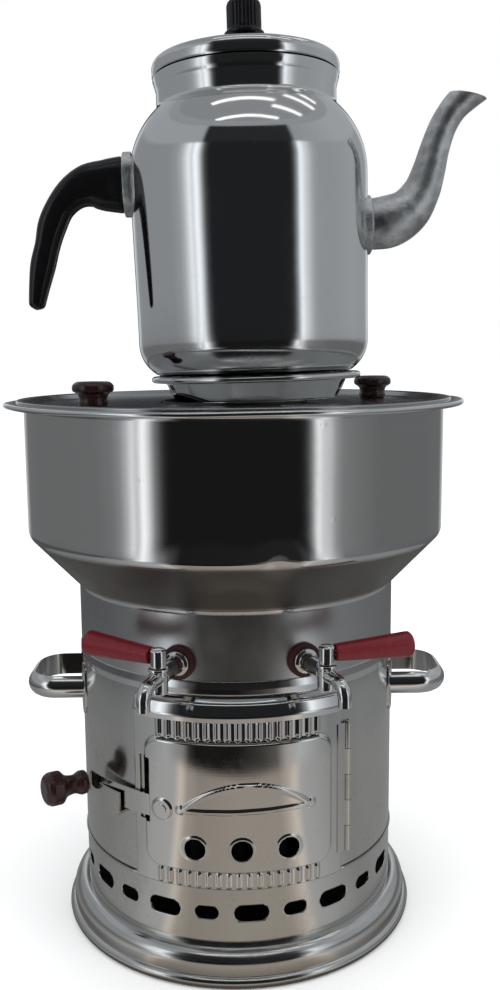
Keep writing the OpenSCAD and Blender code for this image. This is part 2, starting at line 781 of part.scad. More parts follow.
module tap_nut() translate([0, 0, stem_z]) difference() {
    outward(stove_r - sheet_t - 0.4 - nut_t, nut_t) circle(nut_r, $fn = 6);
    outward(stove_r - 20, 30) circle(shank_r + 0.05);
}

// The lever turns on the valve's axis; turn is counted from pointing straight out
module lever_hub(turn) at_valve(turn) difference() {
    union() {
        translate([0, 0, valve_top + gap]) cylinder(r = hub_r, h = hub_h);
        translate([0, 0, valve_top + gap + hub_h]) cylinder(r1 = hub_r, r2 = hub_r - 0.7, h = 0.7);
        translate([0, 0, stem_z - 6.2]) cylinder(r = plug_r, h = valve_top - stem_z + 7);
        translate([0, 0, grip_z]) rotate([90, 0, 0]) cylinder(r = 1.8, h = hub_r + 14);
    }
    translate([0, 0, stem_z]) rotate([90, 0, 0])
        cylinder(r = water_r - 0.4, h = 3 * plug_r, center = true);
}

module lever_grip(turn) at_valve(turn) translate([0, 0, grip_z])
    rotate([90, 0, 0]) translate([0, 0, hub_r + 0.3]) difference() {
        rotate_extrude() polygon(concat(
            [[0, 0], [4.2, 0], [4.7, 0.5]],
            arc([grip_r - 2, grip_l - 2], 2, 0, 90, 5),
            [[0, grip_l]]
        ));
        translate([0, 0, -1]) cylinder(r = 1.85, h = 15.2);
    }

module at_valve(turn)
    translate([0, -stove_r - tap_reach, 0]) rotate([0, 0, turn]) children();

// ---------- Tank lid ----------

module at_lid_knob(a) translate([lid_knob_shift, 0, 0]) at_az(lid_turn + a) children();

module tank_lid() color("silver") difference() {
    rotate_extrude() {
        slope_r = bowl_r - sheet_t - 2;
        under = [[lid_hole, lid_low], [slope_r - 5, lid_low], [slope_r, lid_top],
            [lid_r - 1, lid_top]] - [for (i = [0:3]) [0, lid_t]];
        polygon(concat(under, back([for (p = under) p + [0, lid_t]])));
        translate([lid_r - 0.9, lid_under + 0.9]) circle(0.9);
    }
    for (a = [0, 180]) at_lid_knob(a)
        translate([0, -lid_knob_place, lid_low - 2]) cylinder(r = screw_r + 0.1, h = 4);
}

module lid_knob() translate([0, -lid_knob_place, lid_low]) difference() {
    turned_knob(lid_knob_d, lid_knob_h);
    translate([0, 0, -1]) cylinder(r = screw_r, h = lid_knob_h * 0.6 + 1);
}

module knob_screw() translate([0, -lid_knob_place, lid_low]) {
    translate([0, 0, -lid_t - 1.6]) cylinder(r = screw_r * 2, h = 1.6);
    translate([0, 0, -lid_t - 1.6]) cylinder(r = screw_r, h = lid_t + 1.6 + lid_knob_h * 0.55);
}

// ---------- Pot ring, teapot and its lid ----------

// Children are drawn on the ring's own axis, from the ring's foot up
module on_flue() translate([foot_x, 0, flue_top + seat]) rotate([0, -pot_lean, 0])
    translate([ring_shift - foot_x, 0, 0]) children();
module on_ring() on_flue() translate([pot_shift, 0, ring_h + seat]) children();

module pot_ring() color("silver") on_flue() difference() {
    rotate_extrude() {
        polygon([[ring_foot_r - ring_t, 0], [ring_foot_r, 0], [ring_foot_r + 5.6, ring_h - 3.2],
            [ring_foot_r + 7.4, ring_h - ring_t], [ring_lip_r - lip_r, ring_h - ring_t],
            [ring_lip_r - lip_r, ring_h], [ring_foot_r + 6.8, ring_h],
            [ring_foot_r + 4.6, ring_h - 2.8]]);
        translate([ring_edge_r - ring_t, 0]) square([ring_foot_r - ring_edge_r + 1, ring_t]);
        translate([ring_edge_r - ring_t, -ring_edge_h]) square([ring_t, ring_edge_h + ring_t]);
        translate([ring_lip_r - lip_r, ring_h - lip_r]) circle(lip_r);
    }
    for (s = [-1, 1], i = [0:ring_vents / 2 - 1]) rotate([0, 0, s * (180 - 240 / ring_vents * (i + 0.5))])
        translate([0, 0, ring_h * 0.5]) outward(ring_foot_r - 5, 20) slot2d(9, 5);
}

// The body's outline: a round bottom corner, a slightly swelling wall, a wide shoulder, a neck
pot_corner_x = pot_r - 1.1 - pot_round;
pot_corner_z = pot_round * sin(acos((pot_foot_r - pot_corner_x) / pot_round));
pot_heel = -acos((pot_foot_r + 3.74 - pot_corner_x) / pot_round);
pot_path = concat(
    [[pot_foot_r, 0]],
    arc([pot_corner_x, pot_corner_z], pot_round, pot_heel, 0, 6),
    arc([pot_r - shoulder_round, shoulder_z], shoulder_round, 0,
        acos((neck_r + 1.5 - pot_r + shoulder_round) / shoulder_round), 10),
    [[neck_r, shoulder_z + 41], [neck_r, pot_h]]
);
pot_inner = concat([for (p = pot_path) [p[0] - pot_t, max(p[1], pot_t)]]);

module pot_solid() rotate_extrude($fn = 720)
    polygon(concat([[0, 0]], pot_path, [[0, pot_h]]));

module teapot_body() color("silver") on_ring() difference() {
    rotate_extrude() polygon(concat([[0, 0]], pot_path, back(pot_inner), [[0, pot_t]]));
    for (y = [-1:1], z = [-1:1]) if (abs(y) + abs(z) < 2)
        translate([pot_r - 10, y * 6, spout_z + z * 6]) rotate([0, 90, 0])
            cylinder(r = strainer_r, h = 14);
}

module spout_path(grow) translate([pot_r, 0, spout_z])
    swept([for (s = SPOUT) [s[0], s[1], s[2], s[2]]], 20, 20, grow);

module teapot_spout() color("silver") on_ring() difference() {
    union() {
        spout_path(0);
        translate([pot_r - 8, 0, spout_z]) rotate([0, 90, 0]) cylinder(r = 17.5, h = 10.5);
    }
    pot_solid();
    spout_bore();
}

module spout_bore() translate([pot_r, 0, spout_z]) {
    swept([for (i = [1:len(SPOUT) - 1]) let (s = SPOUT[i]) [s[0], s[1], s[2] - 2, s[2] - 2]],
        20, 20);
    translate([-10, 0, 0]) rotate([0, 90, 0]) cylinder(r = SPOUT[0][2] - 2, h = 13);
    translate([SPOUT[10][0] - 30, -20, SPOUT[10][1] - 1]) rotate([0, 12, 0]) cube([60, 40, 30]);
}

module handle_bracket() color("silver") on_ring() difference() {
    translate([-pot_r + 6, 0, grip_root_z]) rotate([0, -90, 0])
        linear_extrude(10) slot2d(38, 27);
    pot_solid();
}

module teapot_handle() color("#141414") on_ring()
    translate([-pot_r, 0, grip_root_z]) rotate([0, 0, 180]) swept(HANDLE, 24, 20);

module on_mouth() on_ring() translate([0, 0, pot_h + seat]) children();

module teapot_lid() color("silver") on_mouth() difference() {
    rotate_extrude() {
        crown_r = lid_seat_r - 4.5;
        crown_z = crown_h - 7.5;
        sphere_r = (crown_r * crown_r + 7.5 * 7.5) / 15;
        top = concat([[lid_seat_r, 0.8]], [[lid_seat_r, 4.2]],
            arc([lid_seat_r - 5.5, crown_z - 5.5], 5.5, 0, 65, 5),
            arc([0, crown_h - sphere_r], sphere_r, 90 - asin(crown_r / sphere_r) + 1, 89, 8),
            [[0, crown_h]]);
        polygon(concat([[neck_r - 4, 0], [lid_seat_r - 0.8, 0]], top,
            [[0, crown_h - 1.2]],
            back([for (i = [2:len(top) - 2]) top[i] - [1, 1.2]]), [[neck_r - 4, 1.2]]));
        translate([neck_r - pot_t - 0.8 - 1, -7]) square([1, 8]);
    }
    translate([0, 0, crown_h - 5]) cylinder(r = screw_r + 0.1, h = 8);
}

module teapot_lid_knob() color("#141414") on_mouth() translate([0, 0, crown_h])
    difference() {
        rotate_extrude() polygon(concat(
            [[0, 0], [knob_r - 2, 0], [knob_r - 2.6, 5], [knob_r + 1.6, 6.4], [knob_r + 1.6, 7.6],
                [knob_r, 8.6]],
            arc([knob_r - 4, knob_h - 4], 4, 0, 78, 6),
            [[0, knob_h]]
        ));
        for (i = [0:knob_ribs - 1]) rotate([0, 0, 360 * i / knob_ribs])
            translate([knob_r + 0.35, 0, 9.5]) cylinder(r = 0.8, h = knob_h, $fn = 24);
        translate([0, 0, -1]) cylinder(r = screw_r, h = 14);
    }

module lid_knob_screw() color("gray") on_mouth() translate([0, 0, crown_h]) {
    translate([0, 0, -1.5 - 1.8]) cylinder(r = screw_r * 2, h = 1.8);
    translate([0, 0, -3]) cylinder(r = screw_r, h = 15);
}

// ---------- Nodes ----------

base_skirt();
base_floor();
vent_band();
fire_grate();
stove_shell();
shell_top_strip();
door_hood();
left_side_handle();
right_side_handle();
latch_keeper();
hinge_shell_leaf();
hinge_pin();
door_panel();
hinge_door_leaf();
latch_rivet();
latch_strap();
latch_knob();
tank_lower_wall();
tank_cone();
tank_bowl();
tank_floor();
flue_tube();
color("lightgray") at_az(left_tap) tap_body();  // left_tap_body
color("lightgray") at_az(right_tap) tap_body();  // right_tap_body
color("darkred") at_az(left_tap) tap_gasket();  // left_tap_gasket
color("darkred") at_az(right_tap) tap_gasket();  // right_tap_gasket
color("gray") at_az(left_tap) tap_nut();  // left_tap_nut
color("gray") at_az(right_tap) tap_nut();  // right_tap_nut
color("lightgray") at_az(left_tap) lever_hub(-90 - left_rest);  // left_lever_hub
color("lightgray") at_az(right_tap) lever_hub(90 - right_rest);  // right_lever_hub
color("firebrick") at_az(left_tap) lever_grip(-90 - left_rest);  // left_lever_grip
color("firebrick") at_az(right_tap) lever_grip(90 - right_rest);  // right_lever_grip
tank_lid();
color("#4a2018") at_lid_knob(0) lid_knob();  // front_lid_knob
color("#4a2018") at_lid_knob(180) lid_knob();  // rear_lid_knob
color("gray") at_lid_knob(0) knob_screw();  // front_knob_screw
color("gray") at_lid_knob(180) knob_screw();  // rear_knob_screw
pot_ring();
teapot_body();
teapot_spout();
teapot_handle();
handle_bracket();
teapot_lid();
teapot_lid_knob();
lid_knob_screw();
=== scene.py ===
"""Looks of a portable samovar: stove, tank with two taps, pot ring and teapot.

Every piece is built in the CAD model's own frame. Sizes in this file are in millimetres and
azimuths in degrees from -Y towards +X, until a mesh is made, which is in metres.
"""

import logging
import math
from dataclasses import dataclass
from enum import Enum

import bmesh
import bpy
import numpy as np
from mathutils import Matrix, Vector


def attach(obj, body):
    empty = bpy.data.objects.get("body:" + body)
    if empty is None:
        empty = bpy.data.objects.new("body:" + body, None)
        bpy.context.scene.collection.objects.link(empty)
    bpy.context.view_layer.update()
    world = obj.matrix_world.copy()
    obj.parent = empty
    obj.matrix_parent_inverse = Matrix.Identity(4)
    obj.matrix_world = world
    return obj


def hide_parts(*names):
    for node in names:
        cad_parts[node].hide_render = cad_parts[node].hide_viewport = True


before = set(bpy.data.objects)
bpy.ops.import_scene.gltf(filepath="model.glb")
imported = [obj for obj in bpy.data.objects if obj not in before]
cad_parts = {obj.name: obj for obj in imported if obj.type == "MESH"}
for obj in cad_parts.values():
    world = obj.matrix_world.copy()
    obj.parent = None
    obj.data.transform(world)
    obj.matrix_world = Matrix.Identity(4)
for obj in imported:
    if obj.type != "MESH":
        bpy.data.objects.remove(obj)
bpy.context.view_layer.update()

LOG = logging.getLogger("samovar")
MM = 0.001

Array = np.ndarray


# ---------- Curves and grids ----------


def arc(centre: tuple[float, float], radius: float, start: float, end: float, count: int = 12) -> Array:
    """Points on a circle from one angle to another.

    Args:
        centre: the circle's centre.
        radius: its radius.
        start: the first angle in degrees, from the first axis.
        end: the last angle in degrees.
        count: how many points.

    Returns:
        An array of shape (count, 2).
    """
    angle = np.radians(np.linspace(start, end, count))
    return np.stack([centre[0] + radius * np.cos(angle), centre[1] + radius * np.sin(angle)], 1)


def path(*corners: tuple[float, ...], steps: int = 8) -> Array:
    """A line through corners, each rounded by a circle that touches both of its sides.

    Args:
        corners: (x, z) or (x, z, fillet radius) of each corner.
        steps: how many points a rounded corner gets.

    Returns:
        An array of shape (n, 2).
    """
    pts = np.array([c[:2] for c in corners], float)
    out = [pts[0]]
    for i in range(1, len(pts) - 1):
        radius = corners[i][2] if len(corners[i]) > 2 else 0.0
        a, b = pts[i - 1] - pts[i], pts[i + 1] - pts[i]
        a, b = a / np.linalg.norm(a), b / np.linalg.norm(b)
        half = math.acos(float(np.clip(a @ b, -1, 1))) / 2
        if radius <= 0 or half > 1.56:
            out.append(pts[i])
            continue
        reach = radius / math.tan(half)
        middle = (a + b) / np.linalg.norm(a + b) * radius / math.sin(half)
        p0, p1 = a * reach - middle, b * reach - middle
        t0, t1 = math.atan2(p0[1], p0[0]), math.atan2(p1[1], p1[0])
        if t1 - t0 > math.pi:
            t1 -= 2 * math.pi
        if t0 - t1 > math.pi:
            t1 += 2 * math.pi
        t = np.linspace(t0, t1, steps)
        out.extend(pts[i] + middle + radius * np.stack([np.cos(t), np.sin(t)], 1))
    out.append(pts[-1])
    return np.array(out)


def dense(line: Array, step: float) -> Array:
    """Adds points to a line so that no stretch is longer than step."""
    out = [line[:1]]
    for a, b in zip(line[:-1], line[1:]):
        n = max(1, int(math.ceil(np.linalg.norm(b - a) / step)))
        out.append(a + (b - a) * np.linspace(0, 1, n + 1)[1:, None])
    return np.concatenate(out)


def sheet_side(line: Array, thickness: float) -> Array:
    """A line moved to its left by a thickness, as the other face of a bent sheet."""
    run = np.gradient(line, axis=0)
    run /= np.linalg.norm(run, axis=1)[:, None] + 1e-9
    return line + thickness * np.stack([-run[:, 1], run[:, 0]], 1)


def smoothstep(x: Array, low: float, high: float) -> Array:
    """0 below low, 1 above high, and a smooth rise between them."""
    t = np.clip((x - low) / (high - low), 0, 1)
    return t * t * (3 - 2 * t)


@dataclass
class Patch:
    """A piece of mesh: points in millimetres and faces of four corners."""

    points: Array
    faces: Array

    @staticmethod
    def grid(points: Array, close_u: bool = False, close_v: bool = False) -> "Patch":
        """A mesh over a grid of points of shape (nu, nv, 3), closed round either way if asked."""
        nu, nv = points.shape[:2]
        iu = np.arange(nu if close_u else nu - 1)
        iv = np.arange(nv if close_v else nv - 1)
        u, v = np.meshgrid(iu, iv, indexing="ij")
        u2, v2 = (u + 1) % nu, (v + 1) % nv
        faces = np.stack([u * nv + v, u2 * nv + v, u2 * nv + v2, u * nv + v2], -1)
        return Patch(points.reshape(-1, 3), faces.reshape(-1, 4))

    def moved(self, matrix: Matrix) -> "Patch":
        """The same patch turned and moved by a 4 by 4 matrix, in millimetres."""
        m = np.array(matrix)
        return Patch(self.points @ m[:3, :3].T + m[:3, 3], self.faces)

    def mapped(self, function) -> "Patch":
        """The same patch with its points changed by a function of (x, y, z) arrays."""
        return Patch(np.stack(function(*self.points.T), 1), self.faces)


def lathe(loop: Array, steps: int = 192, closed: bool = True) -> Patch:
    """Turns a profile about the Z axis.

    The point at profile (r, z) and azimuth a is (r sin a, -r cos a, z).

    Args:
        loop: (r, z) points of the profile.
        steps: how many stretches go round.
        closed: whether the profile's last point joins its first.

    Returns:
        The patch.
    """
    a = np.linspace(0, 2 * np.pi, steps, endpoint=False)
    r, z = loop[:, 0][:, None], loop[:, 1][:, None]
    points = np.stack([r * np.sin(a), -r * np.cos(a), z + 0 * a], -1)
    return Patch.grid(points, close_u=closed, close_v=True)


def disc_cap(loop_points: Array, inwards: Array) -> Patch:
    """Closes a ring of points with a fan to one middle point."""
    n = len(loop_points)
    points = np.concatenate([loop_points, inwards[None]])
    i = np.arange(n)
    return Patch(points, np.stack([i, (i + 1) % n, np.full(n, n), np.full(n, n)], 1))


def pipe(line: Array, radius: Array, bore: float, sides: int = 40) -> Patch:
    """A bent pipe in the plane x = 0, with its bore, pointing towards -Y.

    Args:
        line: (distance out, z) points of its centre line.
        radius: its outer radius at each point.
        bore: its inner radius.
        sides: points round a section.

    Returns:
        The patch, closed at both ends by its annular faces.
    """
    run = np.gradient(line, axis=0)
    run /= np.linalg.norm(run, axis=1)[:, None]
    turn = np.linspace(0, 2 * np.pi, sides, endpoint=False)
    rows = []
    for size, way in ((radius, 1), (np.full(len(line), bore), -1)):
        across, up = size[:, None] * np.cos(turn), size[:, None] * np.sin(turn)
        out = line[:, :1] - run[:, 1:] * up
        rows.append(np.stack([across, -out, line[:, 1:] + run[:, :1] * up], -1)[::way])
    return Patch.grid(np.concatenate(rows), close_u=True, close_v=True)


def joined(patches: list[Patch]) -> Patch:
    """Several patches as one."""
    points = np.concatenate([p.points for p in patches])
    starts = np.cumsum([0] + [len(p.points) for p in patches[:-1]])
    return Patch(points, np.concatenate([p.faces + s for p, s in zip(patches, starts)]))


def rolled(azimuth: Array, height: Array, radius) -> tuple[Patch, Array, Array]:
    """A curved sheet over a grid of azimuths and heights.

    Args:
        azimuth: azimuths in degrees.
        height: heights.
        radius: a function of the two grids that gives the distance from the axis.

    Returns:
        The patch, and each point's azimuth and height.
    """
    a, z = np.meshgrid(azimuth, height, indexing="ij")
    r = radius(a, z)
    rad = np.radians(a)
    return Patch.grid(np.stack([r * np.sin(rad), -r * np.cos(rad), z], -1)), a.ravel(), z.ravel()


def pierced(patch: Patch, inside: Array, arc_mm: Array, height: Array, pull: float) -> Patch:
    """Cuts holes in a patch and draws its edge onto the holes' outlines.

    Points less than pull inside an outline slide out along its slope until they lie on it, and
    faces with no corner left outside are dropped.

    Args:
        patch: a grid patch.
        inside: distance inside a hole at each point of the grid, negative outside.
        arc_mm: the patch's first grid coordinate at each point, in millimetres.
        height: the second.
        pull: about one and a half cells.

    Returns:
        The pierced patch.
    """
    keep = ~(inside[patch.faces] > 0).all(1)
    faces = patch.faces[keep]
    points = patch.points.copy()
    edge = np.zeros(len(points), bool)
    edge[faces.ravel()] = True
    move = edge & (inside > 0) & (inside < pull * 2)
    shape = (len(np.unique(np.round(arc_mm, 4))), -1)
    field_ = inside.reshape(shape)
    xs, zs = arc_mm.reshape(shape)[:, 0], height.reshape(shape)[0]
    gx, gz = np.gradient(field_, xs, zs)
    size = np.hypot(gx, gz) + 1e-6
    dx = (-field_ * gx / size**2).ravel()[move]
    dz = (-field_ * gz / size**2).ravel()[move]
    p = points[move]
    radius = np.hypot(p[:, 0], p[:, 1])
    scale = np.median(np.abs(radius))
    turn = dx / scale
    c, s = np.cos(turn), np.sin(turn)
    points[move] = np.stack([p[:, 0] * c - p[:, 1] * s, p[:, 0] * s + p[:, 1] * c, p[:, 2] + dz], 1)
    return Patch(points, faces)


def slot_depth(x: Array, z: Array, width: float, height: float) -> Array:
    """Distance inside a slot with round ends that lies along x, negative outside."""
    half = np.maximum(width - height, 0) / 2
    return height / 2 - np.hypot(np.maximum(np.abs(x) - half, 0), z)


def box_depth(x: Array, z: Array, width: float, height: float, radius: float) -> Array:
    """Distance inside a rectangle with round corners, negative outside."""
    qx, qz = np.abs(x) - width / 2 + radius, np.abs(z) - height / 2 + radius
    outside = np.hypot(np.maximum(qx, 0), np.maximum(qz, 0))
    return radius - outside - np.minimum(np.maximum(qx, qz), 0)


# ---------- Shader maths ----------


class Shader:
    """A material's or a world's node tree, with a single way to make a node."""

    def __init__(self, name: str, kind: str = "materials") -> None:
        """Makes an empty node material or world of that name."""
        self.owner = getattr(bpy.data, kind).new(name)
        self.owner.use_nodes = True
        self.tree = self.owner.node_tree
        self.tree.nodes.clear()

    def node(self, kind: str, settings: dict | None = None, **sockets) -> bpy.types.Node:
        """Makes a node.

        Args:
            kind: the node's type.
            settings: properties, set before the sockets; a ramp's stops go under "stops".
            sockets: values or links, by socket name with spaces as underscores, or in0, in1.

        Returns:
            The node.
        """
        made = self.tree.nodes.new(kind)
        for key, value in (settings or {}).items():
            if key == "stops":
                ramp = made.color_ramp
                while len(ramp.elements) < len(value):
                    ramp.elements.new(0.5)
                for element, (place, colour) in zip(ramp.elements, value):
                    element.position = place
                    element.color = colour if len(colour) == 4 else (*colour, 1)
            else:
                setattr(made, key, value)
        for key, value in sockets.items():
            number = key[2:] if key.startswith("in") and key[2:].isdigit() else None
            socket = made.inputs[int(number)] if number else made.inputs[key.replace("_", " ")]
            self.feed(socket, value)
        return made

    def feed(self, socket: bpy.types.NodeSocket, value) -> None:
        """Links a value to a socket, or sets the socket to a number or colour."""
        if isinstance(value, Value):
            value = value.socket
        if isinstance(value, bpy.types.NodeSocket):
            self.tree.links.new(value, socket)
        else:
            socket.default_value = value

    def maths(self, operation: str, *values) -> "Value":
        """A Math node on values and numbers."""
        named = {f"in{i}": v for i, v in enumerate(values)}
        return Value(self, self.node("ShaderNodeMath", {"operation": operation}, **named).outputs[0])

    def place(self, shift: tuple[float, float, float] = (0, 0, 0), tilt: float = 0) -> bpy.types.NodeSocket:
        """Object coordinates in millimetres about a point, turned by tilt degrees about Y."""
        object_place = self.node("ShaderNodeTexCoord").outputs["Object"]
        moved = self.node("ShaderNodeVectorMath", {"operation": "ADD"}, in0=object_place,
                          in1=tuple(-v * MM for v in shift)).outputs[0]
        turned = self.node("ShaderNodeMapping", {"vector_type": "POINT"}, Vector=moved,
                           Rotation=(0, math.radians(tilt), 0), Scale=(1 / MM,) * 3)
        return turned.outputs[0]

    def parts(self, vector: bpy.types.NodeSocket) -> tuple["Value", "Value", "Value"]:
        """The three parts of a vector."""
        split = self.node("ShaderNodeSeparateXYZ", in0=vector)
        return tuple(Value(self, split.outputs[i]) for i in range(3))

    def vector(self, x, y, z) -> bpy.types.NodeSocket:
        """A vector from three values."""
        return self.node("ShaderNodeCombineXYZ", in0=x, in1=y, in2=z).outputs[0]

    def noise(self, vector: bpy.types.NodeSocket, scale: float, detail: float, rough: float) -> "Value":
        """Noise between 0 and 1."""
        made = self.node("ShaderNodeTexNoise", None, Vector=vector, Scale=scale, Detail=detail,
                         Roughness=rough)
        return Value(self, made.outputs[0])

    def cells(self, vector: bpy.types.NodeSocket, scale: float) -> "Value":
        """Distance to the nearest of scattered points."""
        return Value(self, self.node("ShaderNodeTexVoronoi", None, Vector=vector, Scale=scale).outputs[0])

    def ramp(self, value: "Value", *stops: tuple[float, tuple]) -> bpy.types.NodeSocket:
        """A colour ramp over a value."""
        return self.node("ShaderNodeValToRGB", {"stops": stops}, in0=value).outputs[0]

    def blend(self, amount, first, second) -> bpy.types.NodeSocket:
        """A mix of two colours."""
        made = self.node("ShaderNodeMix", {"data_type": "RGBA"})
        for number, value in ((0, amount), (6, first), (7, second)):
            self.feed(made.inputs[number], (*value, 1) if isinstance(value, tuple) else value)
        return made.outputs[2]

    def bump(self, height: "Value", distance: float, below=None) -> bpy.types.NodeSocket:
        """A Bump node; distance is in millimetres for a height of 1."""
        more = {"Normal": below} if below is not None else {}
        return self.node("ShaderNodeBump", None, Height=height, Distance=distance * MM, Strength=1.0,
                         **more).outputs[0]

    def finish(self, **sockets) -> bpy.types.Material:
        """Ends the tree in a Principled shader with these socket values."""
        shader = self.node("ShaderNodeBsdfPrincipled", None, **sockets)
        self.node("ShaderNodeOutputMaterial", None, Surface=shader.outputs[0])
        return self.owner


class Value:
    """A number that varies over a surface, with Python's operators."""

    def __init__(self, shader: Shader, socket: bpy.types.NodeSocket) -> None:
        """Wraps a socket of a shader's tree."""
        self.shader, self.socket = shader, socket

    def __add__(self, other):
        """Sum."""
        return self.shader.maths("ADD", self, other)

    def __radd__(self, other):
        """Sum."""
        return self.shader.maths("ADD", other, self)

    def __sub__(self, other):
        """Difference."""
        return self.shader.maths("SUBTRACT", self, other)

    def __rsub__(self, other):
        """Difference from a number."""
        return self.shader.maths("SUBTRACT", other, self)

    def __mul__(self, other):
        """Product."""
        return self.shader.maths("MULTIPLY", self, other)

    def __rmul__(self, other):
        """Product."""
        return self.shader.maths("MULTIPLY", other, self)

    def __truediv__(self, other):
        """Quotient."""
        return self.shader.maths("DIVIDE", self, other)

    def __abs__(self):
        """Absolute value."""
        return self.shader.maths("ABSOLUTE", self)

    def power(self, exponent: float) -> "Value":
        """This value raised to a power."""
        return self.shader.maths("POWER", self, exponent)

    def rise(self, low: float, high: float, to_low: float = 0, to_high: float = 1) -> "Value":
        """A smooth rise from to_low where this is low to to_high where it is high."""
        made = self.shader.node("ShaderNodeMapRange", {"interpolation_type": "SMOOTHSTEP"},
                                Value=self, From_Min=low, From_Max=high, To_Min=to_low, To_Max=to_high)
        return Value(self.shader, made.outputs[0])


# ---------- Finishes ----------


@dataclass(frozen=True)
class Axis:
    """The axis that a turned or rolled piece's pattern runs round."""

    x: float = 0
    y: float = 0
    tilt: float = 0
    z: float = 0


UPRIGHT = Axis()
TARNISH = (0.72, 0.66, 0.58)


@dataclass(frozen=True)
class Steel:
    """Bare metal sheet: polish marks, blotches, stains and small dents.

    Attributes:
        name: the material's name.
        colour: reflectance.
        smooth: roughness of the best places.
        dull: roughness of the worst places.
        lines_bump: depth of the polish marks in millimetres.
        wobble: depth of the slow unevenness in millimetres.
        wobble_scale: how many waves a metre the unevenness has.
        stain: how much darker and browner the stains are, 0 to 1.
        pits: depth of small scattered dents.
        axis: the axis that the pattern runs round.
        matt: heights between which the metal is dull and painted darker, a painted shade
            for the dark surroundings that it mirrors there, and below which it is brushed.
        painted_shade_colour: the reflectance of that painted shade.
    """

    name: str
    colour: tuple[float, float, float] = (0.655, 0.655, 0.65)
    smooth: float = 0.06
    dull: float = 0.16
    lines_bump: float = 0.004
    wobble: float = 0.25
    wobble_scale: float = 9.0
    stain: float = 0.15
    pits: float = 0.0
    axis: Axis = UPRIGHT
    matt: tuple[float, float] | None = None
    painted_shade_colour: tuple[float, float, float] = (0.17, 0.161, 0.147)

    def material(self) -> bpy.types.Material:
        """Builds the material."""
        s = Shader(self.name)
        place = s.place((self.axis.x, self.axis.y, self.axis.z), self.axis.tilt)
        x, y, z = s.parts(place)
        arm = (x.power(2) + y.power(2)).power(0.5) + 0.01
        lines = s.noise(s.vector(x / arm, y / arm, (z + arm) * 1.4), 1.6, 4, 0.7)
        waves = s.noise(place, self.wobble_scale * MM, 2, 0.4)
        blots = s.noise(place, 0.022, 6, 0.62)
        specks = s.noise(place, 0.35, 3, 0.7)
        film = blots.rise(0.42, 0.68)
        rough = self.smooth + (self.dull - self.smooth) * (film * 0.7 + specks.rise(0.5, 0.8) * 0.3)
        rough = rough + (lines - 0.5) * (self.smooth * 0.8)
        dirt = (blots * 0.6 + specks * 0.4).rise(0.52, 0.72) * self.stain
        tint = s.blend(dirt, self.colour, tuple(c * k for c, k in zip(self.colour, TARNISH)))
        # Painted shade: between these heights the colour is pulled to a dark brownish grey for the darkness
        # that the tank's cone mirrors from under the bowl; the added roughness is the metal's real dull
        # finish.
        if self.matt:
            low, high = self.matt
            matt = z.rise(low - 2, low + 2) * z.rise(high - 3, high + 1, 1, 0)
            tint = s.blend(matt, tint, self.painted_shade_colour)
            brushed = z.rise(low - 4, low, 1, 0)
            rough = rough + matt * (0.22 + blots * 0.2) + brushed * (0.16 + blots * 0.16)
        normal = s.bump(waves, self.wobble)
        normal = s.bump(lines, self.lines_bump, below=normal)
        if self.pits:
            dents = s.cells(place, 0.05).rise(0.0, 0.12, 1, 0)
            normal = s.bump(dents, self.pits, below=normal)
        return s.finish(Base_Color=tint, Metallic=1.0, Roughness=rough, Normal=normal)


@dataclass(frozen=True)
class CastMetal:
    """Sand-cast aluminium, filed and lightly polished.

    Attributes:
        name: the material's name.
        colour: reflectance.
        rough: mean roughness.
        grain: depth of the cast grain in millimetres.
    """

    name: str
    colour: tuple[float, float, float] = (0.82, 0.83, 0.83)
    rough: float = 0.40
    grain: float = 0.12

    def material(self) -> bpy.types.Material:
        """Builds the material."""
        s = Shader(self.name)
        place = s.place()
        fine, coarse = s.noise(place, 1.1, 4, 0.7), s.noise(place, 0.12, 4, 0.6)
        tint = s.blend(coarse.rise(0.35, 0.7), tuple(c * 0.66 for c in self.colour), self.colour)
        rough = self.rough + (coarse - 0.5) * 0.3 + (fine - 0.5) * 0.1
        normal = s.bump(coarse, 0.5)
        normal = s.bump(fine, self.grain, below=normal)
        return s.finish(Base_Color=tint, Metallic=1.0, Roughness=rough, Normal=normal)


@dataclass(frozen=True)
class Plastic:
    """Moulded plastic with handling marks.

    Attributes:
        name: the material's name.
        colour: its colour.
        worn: the paler colour of scuffed places.
        rough: roughness of clean places.
        scuff: how much of the surface is scuffed.
    """

    name: str
    colour: tuple[float, float, float]
    worn: tuple[float, float, float]
    rough: float = 0.2
    scuff: float = 0.3

    def material(self) -> bpy.types.Material:
        """Builds the material."""
        s = Shader(self.name)
        place = s.place()
        blots, fine = s.noise(place, 0.06, 5, 0.65), s.noise(place, 0.9, 3, 0.6)
        marks = (blots * 0.7 + fine * 0.3).rise(0.48, 0.7) * self.scuff
        tint = s.blend(marks, self.colour, self.worn)
        rough = self.rough + marks * 0.35 + (fine - 0.5) * 0.08
        normal = s.bump(s.noise(place, 0.25, 2, 0.5), 0.12)
        normal = s.bump(fine, 0.02, below=normal)
        return s.finish(Base_Color=tint, Roughness=rough, Normal=normal, Specular_IOR_Level=0.35)


@dataclass(frozen=True)
class TurnedWood:
    """Dark varnished wood with its grain along the knob's own axis.

    Attributes:
        name: the material's name.
        colour: the dark colour.
        light: the lighter streaks.
    """

    name: str
    colour: tuple[float, float, float] = (0.010, 0.003, 0.003)
    light: tuple[float, float, float] = (0.030, 0.006, 0.005)

    def material(self) -> bpy.types.Material:
        """Builds the material."""
        s = Shader(self.name)
        x, y, z = s.parts(s.place())
        grain = s.noise(s.vector(x * 0.9, y * 0.9, z * 0.12), 1.0, 5, 0.65)
        rings = s.noise(s.vector(x * 0.05, y * 0.05, z * 0.9), 1.0, 3, 0.5)
        tint = s.blend((grain * 0.75 + rings * 0.25).rise(0.38, 0.66), self.colour, self.light)
        rough = 0.2 + grain.rise(0.3, 0.8) * 0.2
        normal = s.bump(grain, 0.06)
        normal = s.bump(rings, 0.1, below=normal)
        return s.finish(Base_Color=tint, Roughness=rough, Normal=normal, Coat_Weight=0.15,
                        Coat_Roughness=0.15)


POT_AXIS = Axis(12.66, 0, 1.248, 338.0)

